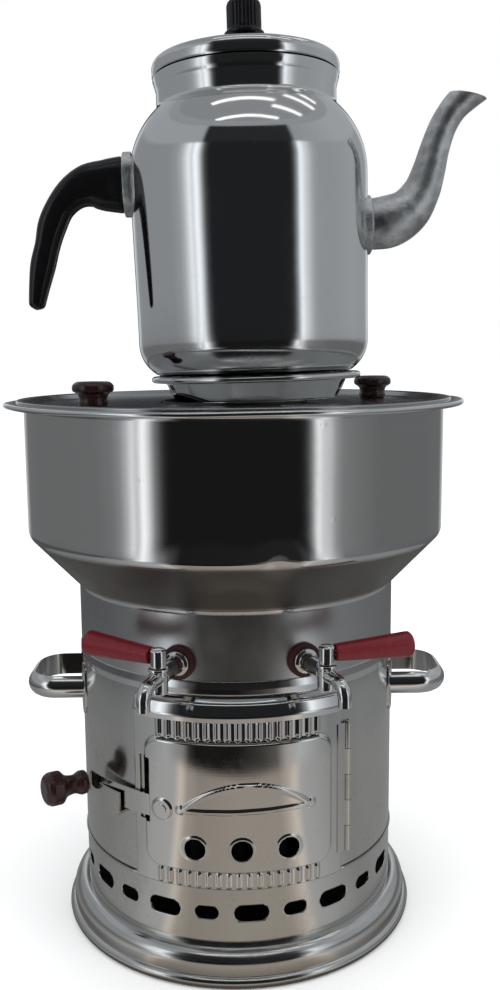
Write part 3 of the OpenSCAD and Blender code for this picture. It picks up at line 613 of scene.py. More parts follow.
MIRROR_STEEL = Steel("mirror_steel", smooth=0.05, dull=0.13, wobble=0.35, wobble_scale=11)
POT_STEEL = Steel("pot_steel", smooth=0.055, dull=0.13, wobble=0.3, wobble_scale=13, pits=0.05,
                  axis=POT_AXIS)
# Its dull band over the cone, from 214 to 243 mm, is also painted darker: painted shade.
TANK_STEEL = Steel("tank_steel", smooth=0.05, dull=0.12, wobble=0.4, wobble_scale=8, pits=0.05,
                   matt=(214.0, 243.0))
LID_STEEL = Steel("lid_steel", colour=(0.42, 0.42, 0.415), smooth=0.16, dull=0.34, wobble=0.3,
                  wobble_scale=12)
STOVE_STEEL = Steel("stove_steel", colour=(0.61, 0.605, 0.585), smooth=0.13, dull=0.26, stain=0.4,
                    lines_bump=0.01, wobble=0.5, wobble_scale=10)
DOOR_STEEL = Steel("door_steel", colour=(0.64, 0.635, 0.62), smooth=0.06, dull=0.13, stain=0.25, wobble=0.5,
                   wobble_scale=16)
HOOD_STEEL = Steel("hood_steel", smooth=0.045, dull=0.1, wobble=0.3, wobble_scale=14)
SOOTED_STEEL = Steel("sooted_steel", colour=(0.12, 0.115, 0.11), smooth=0.45, dull=0.7, stain=0.6)
CHROME = Steel("chrome_plate", colour=(0.72, 0.715, 0.70), smooth=0.05, dull=0.12, stain=0.12,
               lines_bump=0.0, wobble=0.2, wobble_scale=40)
CAST_ALUMINIUM = CastMetal("cast_aluminium")
BLACK_PLASTIC = Plastic("black_plastic", (0.003, 0.003, 0.0035), (0.010, 0.010, 0.011))
RED_PLASTIC = Plastic("red_plastic", (0.10, 0.006, 0.010), (0.18, 0.016, 0.02), 0.26)
RED_RUBBER = Plastic("red_rubber", (0.03, 0.005, 0.005), (0.06, 0.012, 0.012), 0.55)
DARK_WOOD = TurnedWood("dark_wood")

_made: dict[str, bpy.types.Material] = {}


def material_of(finish) -> bpy.types.Material:
    """A finish's material, made once."""
    if finish.name not in _made:
        _made[finish.name] = finish.material()
    return _made[finish.name]


# ---------- Pieces ----------


class Body(Enum):
    """The CAD model's rigid bodies."""

    STOVE = "stove"
    DOOR = "door"
    LATCH = "latch"
    TANK = "tank"
    LEFT_LEVER = "left_lever"
    RIGHT_LEVER = "right_lever"
    LID = "lid"
    RING = "ring"
    TEAPOT = "teapot"
    POT_LID = "pot_lid"


CREASE = 35.0


class Skin(Enum):
    """How a mesh's faces are turned outwards."""

    CLOSED = "closed"
    ROLLED = "rolled"


def piece(name: str, patch: Patch, finish, body: Body, replaces: tuple[str, ...],
          skin: Skin = Skin.CLOSED, thickness: float = 0.0) -> bpy.types.Object:
    """Makes a Blender object from a patch, dresses it and ties it to its body.

    Args:
        name: the object's name.
        patch: its mesh, in millimetres.
        finish: what it is dressed in.
        body: the body that carries it.
        replaces: the CAD nodes that it stands for.
        skin: how the faces are turned outwards.
        thickness: of a sheet that gets its second face from a Solidify modifier.

    Returns:
        The object.
    """
    mesh = bpy.data.meshes.new(name)
    faces = [f if f[2] != f[3] else f[:3] for f in patch.faces.tolist()]
    mesh.from_pydata((patch.points * MM).tolist(), [], faces)
    work = bmesh.new()
    work.from_mesh(mesh)
    bmesh.ops.remove_doubles(work, verts=work.verts, dist=1e-6)
    bmesh.ops.dissolve_degenerate(work, edges=work.edges, dist=1e-7)
    if skin is Skin.CLOSED:
        bmesh.ops.recalc_face_normals(work, faces=work.faces)
    work.to_mesh(mesh)
    work.free()
    if skin is Skin.ROLLED:
        n = len(mesh.polygons)
        normals, centres = np.zeros(n * 3), np.zeros(n * 3)
        mesh.polygons.foreach_get("normal", normals)
        mesh.polygons.foreach_get("center", centres)
        if (normals.reshape(-1, 3)[:, :2] * centres.reshape(-1, 3)[:, :2]).sum() < 0:
            mesh.flip_normals()
    mesh.polygons.foreach_set("use_smooth", np.ones(len(mesh.polygons), bool))
    mesh.set_sharp_from_angle(angle=math.radians(CREASE))
    obj = bpy.data.objects.new(name, mesh)
    bpy.context.scene.collection.objects.link(obj)
    if thickness:
        solid = obj.modifiers.new("sheet", "SOLIDIFY")
        solid.thickness = thickness * MM
        solid.offset = -1
        solid.use_even_offset = False
    obj.data.materials.append(material_of(finish))
    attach(obj, body.value)
    if replaces:
        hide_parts(*replaces)
    LOG.info("%s: %d faces, for %s", name, len(mesh.polygons), ", ".join(replaces) or "nothing")
    return obj


def dress(finish, *nodes: str) -> None:
    """Gives CAD nodes whose shape is right a finish."""
    for node in nodes:
        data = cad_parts[node].data
        data.materials.clear()
        data.materials.append(material_of(finish))


# ---------- Stove ----------


@dataclass
class Stove:
    """The fixed part of the stove, from the base's hem to the shell's rim.

    Attributes:
        radius: of the shell, outside.
        sheet: thickness of the shell.
        shoulder: middle (r, z) and radius of the skirt's shoulder.
        hem: middle (r, z) and radius of the rolled hem.
        band: lowest and highest z of the slotted band.
        top: height of the shell's rim.
        slots: how many air slots go round.
        slot_start: azimuth of the first.
        slot_z: height of their middles.
        opening: the door opening's half azimuth, lowest and highest z.
        hinge_slot: azimuth, lowest and highest z of the slot that the hinge stands in.
        hood_z: lowest and highest z of the hood.
        hood_half: half of its azimuth.
        hood_r: how far out its nose reaches.
        handle_z: height of the handles' middles.
        dents: azimuth, height, width and depth of each shallow dent in the shell.
    """

    radius: float = 97.5
    sheet: float = 1.2
    shoulder: tuple[float, float, float] = (98.5, 11.5, 8.5)
    hem: tuple[float, float, float] = (106.6, 3.3, 3.3)
    band: tuple[float, float] = (6.0, 55.0)
    top: float = 174.0
    slots: int = 24
    slot_start: float = 4.0
    slot_z: float = 38.9
    opening: tuple[float, float, float] = (33.0, 56.7, 149.7)
    hinge_slot: tuple[float, float, float] = (39.2, 64.7, 143.7)
    hood_z: tuple[float, float] = (153.5, 165.5)
    hood_half: float = 34.6
    hood_r: float = 106.0
    handle_z: float = 147.0
    dents: tuple[tuple[float, ...], ...] = (
        (-58, 118, 14, 0.35), (-66, 88, 9, 0.4), (62, 96, 12, 0.3), (100, 120, 16, 0.4),
        (-130, 90, 18, 0.4))

    def skirt(self) -> None:
        """Lathes the skirt's wall and the bead of its rolled hem."""
        r, z, round_r = self.shoulder
        wall = r + round_r
        loop = np.concatenate([[(wall, 2.5), (wall, z)], arc((r, z), round_r, 0, 84, 16),
                               [(self.radius + 0.1, z + round_r), (self.radius + 0.1, z + 2.5), (r, z + 2.5)],
                               arc((r, z), round_r - 1, 90, 0, 14), [(wall - 1, 2.5)]])
        hem = arc(self.hem[:2], self.hem[2], 0, 345, 24)
        piece("base_skirt_sheet", joined([lathe(loop, steps=240), lathe(hem, steps=240)]),
              STOVE_STEEL, Body.STOVE, ("base_skirt",))

    def slot_inside(self, azimuth: Array, height: Array) -> Array:
        """Distance inside the nearest air slot: long and short ones by turns."""
        pitch = 360 / self.slots
        index = np.round((azimuth - self.slot_start) / pitch)
        x = np.radians(azimuth - self.slot_start - index * pitch) * self.radius
        long = index % 2 == 0
        return slot_depth(x, height - self.slot_z, np.where(long, 20.0, 14.0), np.where(long, 10.0, 8.0))

    def slotted_band(self) -> None:
        """Rolls the band with its slots and the bead along its upper edge."""
        low, high = self.band
        bead = 0.8
        height = np.concatenate([np.linspace(low, high - 2.2 * bead, 44),
                                 np.linspace(high - 2 * bead, high, 7)])
        azimuth = np.linspace(0, 360, 541) + self.slot_start + 8.4

        def radius(a: Array, z: Array) -> Array:
            """The wall's radius, with a half round bead at the top."""
            t = (z - high + bead) / bead
            beside = smoothstep(np.abs(np.mod(a + 180, 360) - 180), 37.3, 38.2)
            return self.radius + bead * np.sqrt(np.clip(1 - t * t, 0, 1)) * (z > high - 2 * bead) * beside

        patch, a, z = rolled(azimuth, height, radius)
        arc_mm = np.radians(a) * self.radius
        patch = pierced(patch, self.slot_inside(a, z), arc_mm, z, 1.4)
        piece("slotted_band", patch, STOVE_STEEL, Body.STOVE, ("vent_band",),
              Skin.ROLLED, self.sheet)
        ledge = np.array([(92.3, high - 1.2), (96.4, high - 1.2), (96.4, high), (92.3, high)])
        piece("grate_ledge", lathe(ledge, steps=120), SOOTED_STEEL, Body.STOVE, ())

    def shell(self) -> None:
        """Rolls the shell, with the door's opening, the hinge's slot and a few shallow dents."""
        half, low, high = self.opening
        hinge, slot_low, slot_high = self.hinge_slot
        azimuth, height = np.linspace(-180, 180, 401), np.linspace(self.band[1], self.top, 68)

        def radius(a: Array, z: Array) -> Array:
            """The shell's radius, less its dents."""
            r = np.full(a.shape, self.radius)
            for at, up, wide, deep in self.dents:
                r -= deep * np.exp(-((np.radians(a - at) * self.radius) ** 2 + (z - up) ** 2) / wide**2)
            return r

        patch, a, z = rolled(azimuth, height, radius)
        arc_mm = np.radians(a) * self.radius
        to_mm = math.radians(1) * self.radius
        door = box_depth(arc_mm, z - (low + high) / 2, 2 * half * to_mm, high - low, 2.0)
        slot = box_depth(arc_mm - hinge * to_mm, z - (slot_low + slot_high) / 2, 3.5,
                         slot_high - slot_low, 1.7)
        patch = pierced(patch, np.maximum(door, slot), arc_mm, z, 2.2)
        piece("shell_sheet", patch, STOVE_STEEL, Body.STOVE, ("stove_shell",),
              Skin.ROLLED, self.sheet)
        strip = path((97.6, 165.8), (98.1, 165.8, 0.25), (98.1, 174, 0.3), (97.6, 174), steps=5)
        piece("shell_strip", lathe(strip, steps=240), HOOD_STEEL, Body.STOVE,
              ("shell_top_strip",))

    def hood(self) -> None:
        """Bends the hood: a sheet nose over the door, closed and rounded at both ends.

        Its outer profile is a shelf that falls outwards, a round nose and a short lip. Each
        azimuth scales that profile's reach, which runs to nothing over a quarter circle at the
        ends, and the inner profile lies 1 mm inside it.
        """
        low, high = self.hood_z
        reach, nose = self.hood_r - self.radius, 4.0
        outer = path((0, high), (reach - 2.4, high - 2.2, nose * 0.7), (reach, low + 3.2, nose),
                     (reach - 0.6, low), steps=14)
        outer = dense(outer, 1.2)
        inner = np.maximum(outer - [1.0, 0], 0)
        inner[:, 1] = np.minimum(inner[:, 1], high - 1)
        loop = np.concatenate([outer, inner[::-1]])
        half, close = self.hood_half, np.array([0, 0.15, 0.4, 0.8, 1.3, 1.9])
        azimuth = np.concatenate([close - half, np.linspace(2.6 - half, half - 2.6, 60), half - close[::-1]])
        edge = np.clip((half - np.abs(azimuth)) / 2.2, 0, 1)
        swell = 0.35 + 0.65 * np.sqrt(1 - (1 - edge) ** 2)
        rad = np.radians(azimuth)
        r = self.radius + loop[:, :1] * swell
        points = np.stack([r * np.sin(rad), -r * np.cos(rad), loop[:, 1:] + 0 * rad], -1)
        body = Patch.grid(points, close_u=True)
        n = len(outer)
        i = np.arange(n - 1)
        ends = []
        for column in (0, -1):
            ring = points[:, column]
            ends.append(Patch(ring, np.stack([i, i + 1, 2 * n - 2 - i, 2 * n - 1 - i], 1)))
        piece("hood_sheet", joined([body] + ends), HOOD_STEEL, Body.STOVE, ("door_hood",))

    def handles(self) -> None:
        """Bends two strap handles: flat inside, crowned outside, with a foot at each end."""
        out, width, tall, thick, corner = 131.5, 56.0, 14.0, 4.5, 15.0
        half, flat = width / 2 - thick, out - thick
        line = path((half, 88), (half, flat, corner), (-half, flat, corner), (-half, 88), steps=14)
        line = dense(line, 4.0)
        run = np.gradient(line, axis=0)
        run /= np.linalg.norm(run, axis=1)[:, None]
        normal = np.stack([run[:, 1], -run[:, 0]], 1)
        t = np.linspace(-1, 1, 13)
        section = np.concatenate([np.stack([thick * (1 - t**2) ** 0.75, t * tall / 2], 1),
                                  np.stack([0 * t[1:-1], -t[1:-1] * (tall / 2 - 0.4)], 1)])
        grid = line[:, None] + normal[:, None] * section[None, :, :1]
        up = np.broadcast_to(section[:, 1], grid.shape[:2])
        strip = Patch.grid(np.stack([grid[..., 0], -grid[..., 1], up], -1), close_v=True)
        strip = strip.mapped(lambda x, y, z: (x, y - np.maximum(0, 97.9 - np.hypot(x, y)), z))
        foot_half = math.degrees(math.asin((width / 2 - thick / 2) / self.radius))
        feet = [self.foot_plate(s * foot_half) for s in (-1, 1)]
        loose = joined([strip] + feet)
        for name, turn in (("right", 90), ("left", -90)):
            place = Matrix.Translation((0, 0, self.handle_z)) @ Matrix.Rotation(math.radians(turn), 4, "Z")
            piece(f"{name}_handle_strap", loose.moved(place), CHROME, Body.STOVE,
                  (f"{name}_side_handle",))

    def foot_plate(self, azimuth: float) -> Patch:
        """A handle's foot: a crowned plate with round ends, rolled onto the shell.

        The plate is drawn as rings of one slot outline, shrunk towards its middle, and each
        ring's height above the shell rises quickly and then stays level.
        """
        turn = np.linspace(0, 2 * np.pi, 48, endpoint=False)
        x = 7.5 * np.cos(turn)
        z = 7.5 * np.sin(turn) + np.sign(np.sin(turn)) * 8.5
        rings = ((1.0, 0.0), (1.0, 0.7), (0.97, 0.95), (0.9, 1.0), (0.5, 1.0), (0.0, 1.0))
        rows = []
        for scale, lift in rings:
            r = self.radius + lift
            a = np.radians(azimuth) + x * scale / r
            rows.append(np.stack([r * np.sin(a), -r * np.cos(a), z * scale], -1))
        return Patch.grid(np.array(rows), close_v=True)

    def build(self) -> None:
        """Builds the stove and dresses what stays as it is."""
        self.skirt()
        self.slotted_band()
        self.shell()
        self.hood()
        self.handles()
        dress(STOVE_STEEL, "latch_keeper", "hinge_shell_leaf", "hinge_pin")
        dress(SOOTED_STEEL, "base_floor", "fire_grate")


# ---------- Door and latch ----------


@dataclass
class Door:
    """The door: one pressed sheet with a raised panel, flutes, a shield and draught holes.

    Attributes:
        outer: radius of the door's outer face at its border.
        sheet: its thickness.
        half: half of its azimuth.
        low: height of its lower edge.
        high: height of its upper edge.
        panel: half width, lowest and highest z, and corner radius of the raised panel.
        rise: how far the panel stands out.
        flutes: how many flutes each row has.
        pitch: azimuth between two of them.
        lens: width, height, and height of the chord of the oval shield.
        lens_azimuth: azimuth of its middle.
        boss: azimuth and height of the round boss over the latch's rivet, and its radius.
        draught: azimuths of the draught holes.
        draught_z: height of their middles.
        draught_r: their radius.
    """

    outer: float = 98.6
    sheet: float = 0.8
    half: float = 36.4
    low: float = 53.7
    high: float = 152.7
    panel: tuple[float, float, float, float] = (53.25, 64.2, 140.2, 9.0)
    rise: float = 2.45
    flutes: int = 17
    pitch: float = 3.325
    lens: tuple[float, float, float] = (78.0, 17.0, 100.2)
    lens_azimuth: float = 2.5
    boss: tuple[float, float, float] = (-25.0, 99.16, 6.2)
    draught: tuple[float, ...] = (-14.0, 1.0, 16.0)
    draught_z: float = 78.2
    draught_r: float = 6.0

    def shield(self, x: Array, z: Array) -> Array:
        """Distance inside the lens shape: a bow above a nearly level chord, negative outside."""
        wide, tall, chord = self.lens
        z = z - 0.027 * x
        bow = (wide**2 / 4 + tall**2) / (2 * tall)
        top = bow - np.hypot(x, z - chord - tall + bow)
        lens = np.minimum(top, z - chord + 0.8)
        ends = 2.6 - np.hypot(np.abs(x) - wide / 2 + 1.5, z - chord - 1)
        return np.maximum(lens, ends)

    def relief(self, a: Array, z: Array) -> Array:
        """How far the sheet stands out of its border's radius at an azimuth and height."""
        half, foot, head, corner = self.panel
        x = (self.outer + self.rise) * np.sin(np.radians(a))
        inside = box_depth(x, z - (foot + head) / 2, 2 * half, head - foot, corner)
        out = self.rise * smoothstep(inside, -0.7, 1.5)
        arm = np.radians(1) * self.outer
        index = np.clip(np.round(a / self.pitch), -(self.flutes // 2), self.flutes // 2)
        across = (a - index * self.pitch) * arm
        for middle, tall in (((head + self.high) / 2 - 0.2, 11.3), ((foot + self.low) / 2, 9.3)):
            flute = slot_depth(z - middle, across, tall, 3.1)
            out += 1.15 * smoothstep(flute, -0.5, 1.2)
        lens = self.shield((a - self.lens_azimuth) * np.radians(1) * (self.outer + self.rise), z)
        out += 0.9 * smoothstep(lens, -0.1, 0.8) - 0.5 * smoothstep(lens, 2.2, 3.4)
        boss_at, boss_z, boss_r = self.boss
        boss = boss_r - np.hypot((a - boss_at) * arm, z - boss_z)
        out += 0.7 * smoothstep(boss, -0.3, 0.9)
        for at in self.draught:
            lip = np.hypot((a - at) * (arm + 0.04), z - self.draught_z) - self.draught_r
            out += 0.45 * np.exp(-((lip - 0.6) ** 2) / 0.9)
        bow = np.exp(-((x / 34) ** 2) - ((z - 104) / 26) ** 2)
        return out + 0.5 * bow

    def holes(self, a: Array, z: Array) -> Array:
        """Distance inside the nearest hole: a draught hole or the latch's window."""
        arm = np.radians(1) * (self.outer + self.rise)
        round_holes = [self.draught_r - np.hypot((a - at) * arm, z - self.draught_z) for at in self.draught]
        window = box_depth((a + 32.0) * arm, z - 108.66, 8.4, 38.0, 1.0)
        return np.maximum.reduce(round_holes + [window])

    def panel_sheet(self) -> None:
        """Presses the door from a grid of azimuths and heights."""
        azimuth, height = np.linspace(-self.half, self.half, 249), np.linspace(self.low, self.high, 192)
        patch, a, z = rolled(azimuth, height, lambda a, z: self.outer + self.relief(a, z))
        arc_mm = np.radians(a) * (self.outer + self.rise)
        patch = pierced(patch, self.holes(a, z), arc_mm, z, 0.8)
        piece("door_sheet", patch, DOOR_STEEL, Body.DOOR, ("door_panel",), Skin.ROLLED,
              self.sheet)

    def build(self) -> None:
        """Builds the door and dresses its hinge leaf."""
        self.panel_sheet()
        dress(DOOR_STEEL, "hinge_door_leaf")


@dataclass
class Knob:
    """A turned wooden knob: a foot, a waist and a flattened round head.

    Attributes:
        width: its diameter.
        length: its length.
        waist: how wide its waist is, as a share of its width.
    """

    width: float
    length: float
    waist: float = 0.54

    def patch(self) -> Patch:
        """Lathes the knob about Z from its foot at 0."""
        r, h = self.width / 2, self.length
        head = min(r * 0.42, h * 0.26)
        line = path((0, 0), (r * 0.7, 0, h * 0.06), (r * 0.72, h * 0.15, h * 0.06),
                    (r * self.waist, h * 0.30, h * 0.16), (r * (self.waist + 0.08), h * 0.5, h * 0.2),
                    (r, h * 0.62, head * 0.5), (r, h * 0.86, head * 0.7), (r * 0.8, h, head), (0, h), steps=7)
        return lathe(dense(line, 1.2), steps=72, closed=False)


@dataclass
class Latch:
    """The latch's strap, rivet and wooden knob.

    Attributes:
        bend: radius of the strap's bend.
        length: how far along its chord the knob stands.
        inner: distance of the strap's inner face from the stove's axis at the rivet.
        rivet: azimuth and height of the rivet.
        knob: diameter and length of the knob.
        knob_turn: angle between the strap's chord and the knob's axis.
    """

    bend: float = 122.0
    length: float = 56.0
    inner: float = 99.05
    rivet: tuple[float, float] = (-25.0, 99.16)
    knob: tuple[float, float] = (19.5, 26.0)
    knob_turn: float = -55.0

    def build(self) -> None:
        """Turns the knob and dresses the rest."""
        end = math.asin(self.length / self.bend)
        at = (self.length, self.bend - self.inner - self.bend * math.cos(end), 0)
        azimuth, height = self.rivet
        place = (Matrix.Rotation(math.radians(azimuth), 4, "Z") @ Matrix.Translation((0, 0, height))
                 @ Matrix.Diagonal((-1, 1, 1, 1)) @ Matrix.Rotation(math.radians(-1), 4, "Y")
                 @ Matrix.Translation(at) @ Matrix.Rotation(math.radians(self.knob_turn), 4, "Z")
                 @ Matrix.Translation((4, -0.5, 0)) @ Matrix.Rotation(math.radians(90), 4, "Y"))
        piece("latch_knob_turned", Knob(*self.knob).patch().moved(place), DARK_WOOD, Body.LATCH,
              ("latch_knob",))
        dress(DOOR_STEEL, "latch_strap", "latch_rivet")


# ---------- Tank ----------


@dataclass
class Tank:
    """The tank: lower wall, cone, bowl and rim flange from one spun sheet.

    Attributes:
        wall: outer radius of the lower wall.
        bowl: outer radius of the bowl.
        rim: height of the rim's upper face.
        flange: radius of the flange's rolled edge.
        sheet: the sheet's thickness.
        seat: height of the lower wall's edge, which rests on the stove.
        cone: heights where the cone begins and ends.
        dents: azimuth, height, width, height and depth of each dent.
    """

    wall: float = 97.5
    bowl: float = 127.0
    rim: float = 322.8
    flange: float = 137.3
    sheet: float = 1.2
    seat: float = 174.0
    cone: tuple[float, float] = (212.4, 243.8)
    dents: tuple[tuple[float, ...], ...] = (
        (10, 244, 9, 5, 1.5), (-6, 246, 22, 4, 0.5), (-38, 262, 12, 14, 0.4), (47, 262, 9, 9, 0.5),
        (63, 300, 5, 8, 0.4), (120, 280, 20, 12, 0.8), (-120, 250, 16, 8, 0.8))

    def shell(self) -> None:
        """Lathes the spun shell with its dents and the flange's slow waves."""
        t, top, foot, (cone_low, cone_high) = self.sheet, self.rim, self.seat, self.cone
        bead = arc((self.flange, top - 1.5), 1.5, -150, 85, 12)
        outer = path((self.wall, foot), (self.wall, cone_low, 5), (self.bowl, cone_high, 7),
                     (self.bowl, top - t, 5), (self.flange - 1.4, top - t), steps=12)
        inner = path((self.flange - 0.5, top), (self.bowl - t, top, 6), (self.bowl - t, cone_high + 0.6, 6),
                     (self.wall - t, cone_low + 0.5, 6), (self.wall - t, foot + t), steps=10)
        collar = [(94.8, foot + t), (94.8, foot - 12), (96.0, foot - 12), (96.0, foot)]
        patch = lathe(np.concatenate([dense(outer, 7), bead, dense(inner, 12), collar]), steps=288)

        def dented(x: Array, y: Array, z: Array) -> tuple[Array, Array, Array]:
            """Presses dents into the bowl's lower edge and lets the flange wave a little."""
            r, a = np.hypot(x, y), np.degrees(np.arctan2(x, -y))
            drop = np.zeros(len(x))
            for at, up, wide, tall, deep in self.dents:
                across = np.radians(a - at) * self.bowl / wide
                drop += deep * np.exp(-(across**2) - ((z - up) / tall) ** 2)
            scale = 1 - drop / np.maximum(r, 1)
            wave = np.sin(np.radians(a) * 5 + 1) * 0.25 + np.sin(np.radians(a) * 9) * 0.12 - 0.37
            return x * scale, y * scale, z + wave * smoothstep(r, self.bowl + 3, self.flange)

        piece("tank_spun_shell", patch.mapped(dented), TANK_STEEL, Body.TANK,
              ("tank_lower_wall", "tank_cone", "tank_bowl"))

    def build(self) -> None:
        """Builds the tank and dresses its floor and flue."""
        self.shell()
        dress(TANK_STEEL, "tank_floor")
        dress(SOOTED_STEEL, "flue_tube")


@dataclass
class Tap:
    """A lever tap: flange, stem, valve, spout, hub and grip.

    Attributes:
        name: left or right.
        azimuth: where it stands on the tank.
        turn: its lever's angle from pointing straight out.
        stem_z: height of its stem's axis.
        valve: distance of the valve's axis from the tank's.
        nozzle: distance of the nozzle's axis.
        bore: radius of the bore.
        rod_up: how far the lever's axis stands above the stem's.
    """

    name: str
    azimuth: float
    turn: float
    stem_z: float = 184.0
    valve: float = 125.0
    nozzle: float = 145.0
    bore: float = 2.2
    rod_up: float = 11.32

    def body(self) -> Patch:
        """The tap's fixed body in the tap's own frame, pointing towards -Y."""
        z = self.stem_z
        level = Matrix.Translation((0, 0, z)) @ Matrix.Rotation(math.radians(90), 4, "X")
        upright = Matrix.Translation((0, -self.valve, 0))
        stem = path((4.4, 96.5), (4.4, 99.4), (7, 99.4, 0.5), (7, 101.4, 0.8), (5, 102.6, 0.6), (4.7, 106, 1),
                    (4.7, 122), (0, 122), steps=6)
        valve = path((0, z - 9.6), (2.6, z - 9.6, 0.5), (4.9, z - 8, 0.8), (4.9, z + 1.2),
                     (5.6, z + 1.9, 0.6), (4.9, z + 2.6), (4.9, z + 3.4), (5.6, z + 4.1, 0.6),
                     (5.2, z + 5.4, 0.4), (0, z + 5.4), steps=5)
        line = path((self.valve + 1, z), (self.nozzle, z, 8), (self.nozzle, z - 11), steps=14)
        line = dense(line, 1.2)
        grow = np.linspace(0, 1, len(line))
        radius = 3.75 + 0.25 * (1 - smoothstep(grow, 0, 0.3)) - 0.15 * smoothstep(grow, 0.5, 1.0)
        return joined([lathe(stem, steps=64, closed=False).moved(level),
                       lathe(dense(valve, 1.5), steps=64, closed=False).moved(upright),
                       pipe(line, radius, self.bore)])

    def hub(self) -> Patch:
        """The lever's hub on the valve's axis, with a dished top and the grip's rod."""
        z = self.stem_z + 5.8
        line = path((0, z), (4.25, z, 0.3), (4.25, z + 8.8, 0.7), (3.3, z + 9.8, 0.3), (2.8, z + 9.5),
                    (0, z + 9.4), steps=5)
        rod = lathe(np.array([(0, 0), (1.8, 0), (1.8, 18), (0, 18)]), steps=24, closed=False)
        return joined([lathe(dense(line, 1.5), steps=56, closed=False), rod.moved(self.lever_axis())])

    def lever_axis(self) -> Matrix:
        """From a piece along +Z to the lever, which points towards -Y."""
        up = Matrix.Translation((0, 0, self.stem_z + self.rod_up))
        return up @ Matrix.Rotation(math.radians(90), 4, "X")

    def grip(self) -> Patch:
        """The lever's grip: a long cone with round ends."""
        line = path((0, 0), (4.5, 0, 0.6), (4.8, 3), (6.9, 41.5), (7, 44, 1.8), (0, 44), steps=7)
        along = self.lever_axis() @ Matrix.Translation((0, 0, 4.55))
        return lathe(dense(line, 2), steps=64, closed=False).moved(along)

    def build(self) -> None:
        """Builds one tap."""
        stand = Matrix.Rotation(math.radians(self.azimuth), 4, "Z")
        swing = (stand @ Matrix.Translation((0, -self.valve, 0))
                 @ Matrix.Rotation(math.radians(self.turn), 4, "Z"))
        lever = Body(f"{self.name}_lever")
        piece(f"{self.name}_tap_casting", self.body().moved(stand), CHROME, Body.TANK,
              (f"{self.name}_tap_body",))
        piece(f"{self.name}_hub_turned", self.hub().moved(swing), CHROME, lever,
              (f"{self.name}_lever_hub",))
        piece(f"{self.name}_grip_moulded", self.grip().moved(swing), RED_PLASTIC, lever,
              (f"{self.name}_lever_grip",))
        dress(RED_RUBBER, f"{self.name}_tap_gasket")
        dress(CHROME, f"{self.name}_tap_nut")


@dataclass
class TankLid:
    """The annular tank lid with its two turned knobs.

    Attributes:
        low: height of the dished middle's upper face.
        top: height of the rim's upper face.
        hole: radius of the hole for the ring.
        knob: diameter, length and waist of a knob.
        knob_r: how far each knob stands from the middle between them.
        knob_azimuth: azimuth of the front one.
        knob_shift: how far both stand off to the right.
    """

    low: float = 320.8
    top: float = 323.8
    hole: float = 45.5
    knob: tuple[float, float, float] = (24.0, 14.0, 0.66)
    knob_r: float = 95.0
    knob_azimuth: float = -65.0
    knob_shift: float = 5.0

    def build(self) -> None:
        """Builds the lid and its knobs."""
        low, top, hole = self.low, self.top, self.hole
        line = path((hole, low), (118.8, low, 4), (123.8, top, 3), (131.2, top, 0.8), (131.5, top - 1, 0.5),
                    (130.6, top - 1.8, 0.5), (130.0, top - 1), (124.0, top - 1, 3), (119.0, low - 1, 3),
                    (hole, low - 1), steps=7)
        patch = lathe(dense(line, 4), steps=240)

        def waved(x: Array, y: Array, z: Array) -> tuple[Array, Array, Array]:
            """Lets the flat middle and the rim wave a little, always downwards."""
            r, a = np.hypot(x, y), np.arctan2(x, -y)
            swell = np.sin(3 * a + 0.6) * 0.15 + np.sin(7 * a) * 0.08 - 0.23
            return x, y, z + swell * smoothstep(r, 60, 100) * (1 - smoothstep(r, 121, 124))

        piece("lid_plate", patch.mapped(waved), LID_STEEL, Body.LID, ("tank_lid",))
        for name, turn in (("front", 0), ("rear", 180)):
            place = (Matrix.Translation((self.knob_shift, 0, 0))
                     @ Matrix.Rotation(math.radians(self.knob_azimuth + turn), 4, "Z")
                     @ Matrix.Translation((0, -self.knob_r, self.low)))
            piece(f"{name}_knob_turned", Knob(*self.knob).patch().moved(place), DARK_WOOD,
                  Body.LID, (f"{name}_lid_knob",))
        dress(CHROME, "front_knob_screw", "rear_knob_screw")


# ---------- Pot ring and teapot ----------

RIM_MID, FOOT_R, EDGE_R, RING_SHIFT = 43.4, 50.0, 40.0, 14.0
FOOT_X = (RIM_MID**2 - FOOT_R**2 + RING_SHIFT**2) / (2 * RING_SHIFT)
EDGE_X = (RIM_MID**2 - EDGE_R**2 + RING_SHIFT**2) / (2 * RING_SHIFT)
LEAN = math.degrees(math.asin(0.7 / (EDGE_X - FOOT_X)))
ON_FLUE = (Matrix.Translation((FOOT_X, 0, 322.1)) @ Matrix.Rotation(math.radians(-LEAN), 4, "Y")
           @ Matrix.Translation((RING_SHIFT - FOOT_X, 0, 0)))
ON_RING = ON_FLUE @ Matrix.Translation((-1, 0, 15.3))
ON_MOUTH = ON_RING @ Matrix.Translation((0, 0, 172.3))


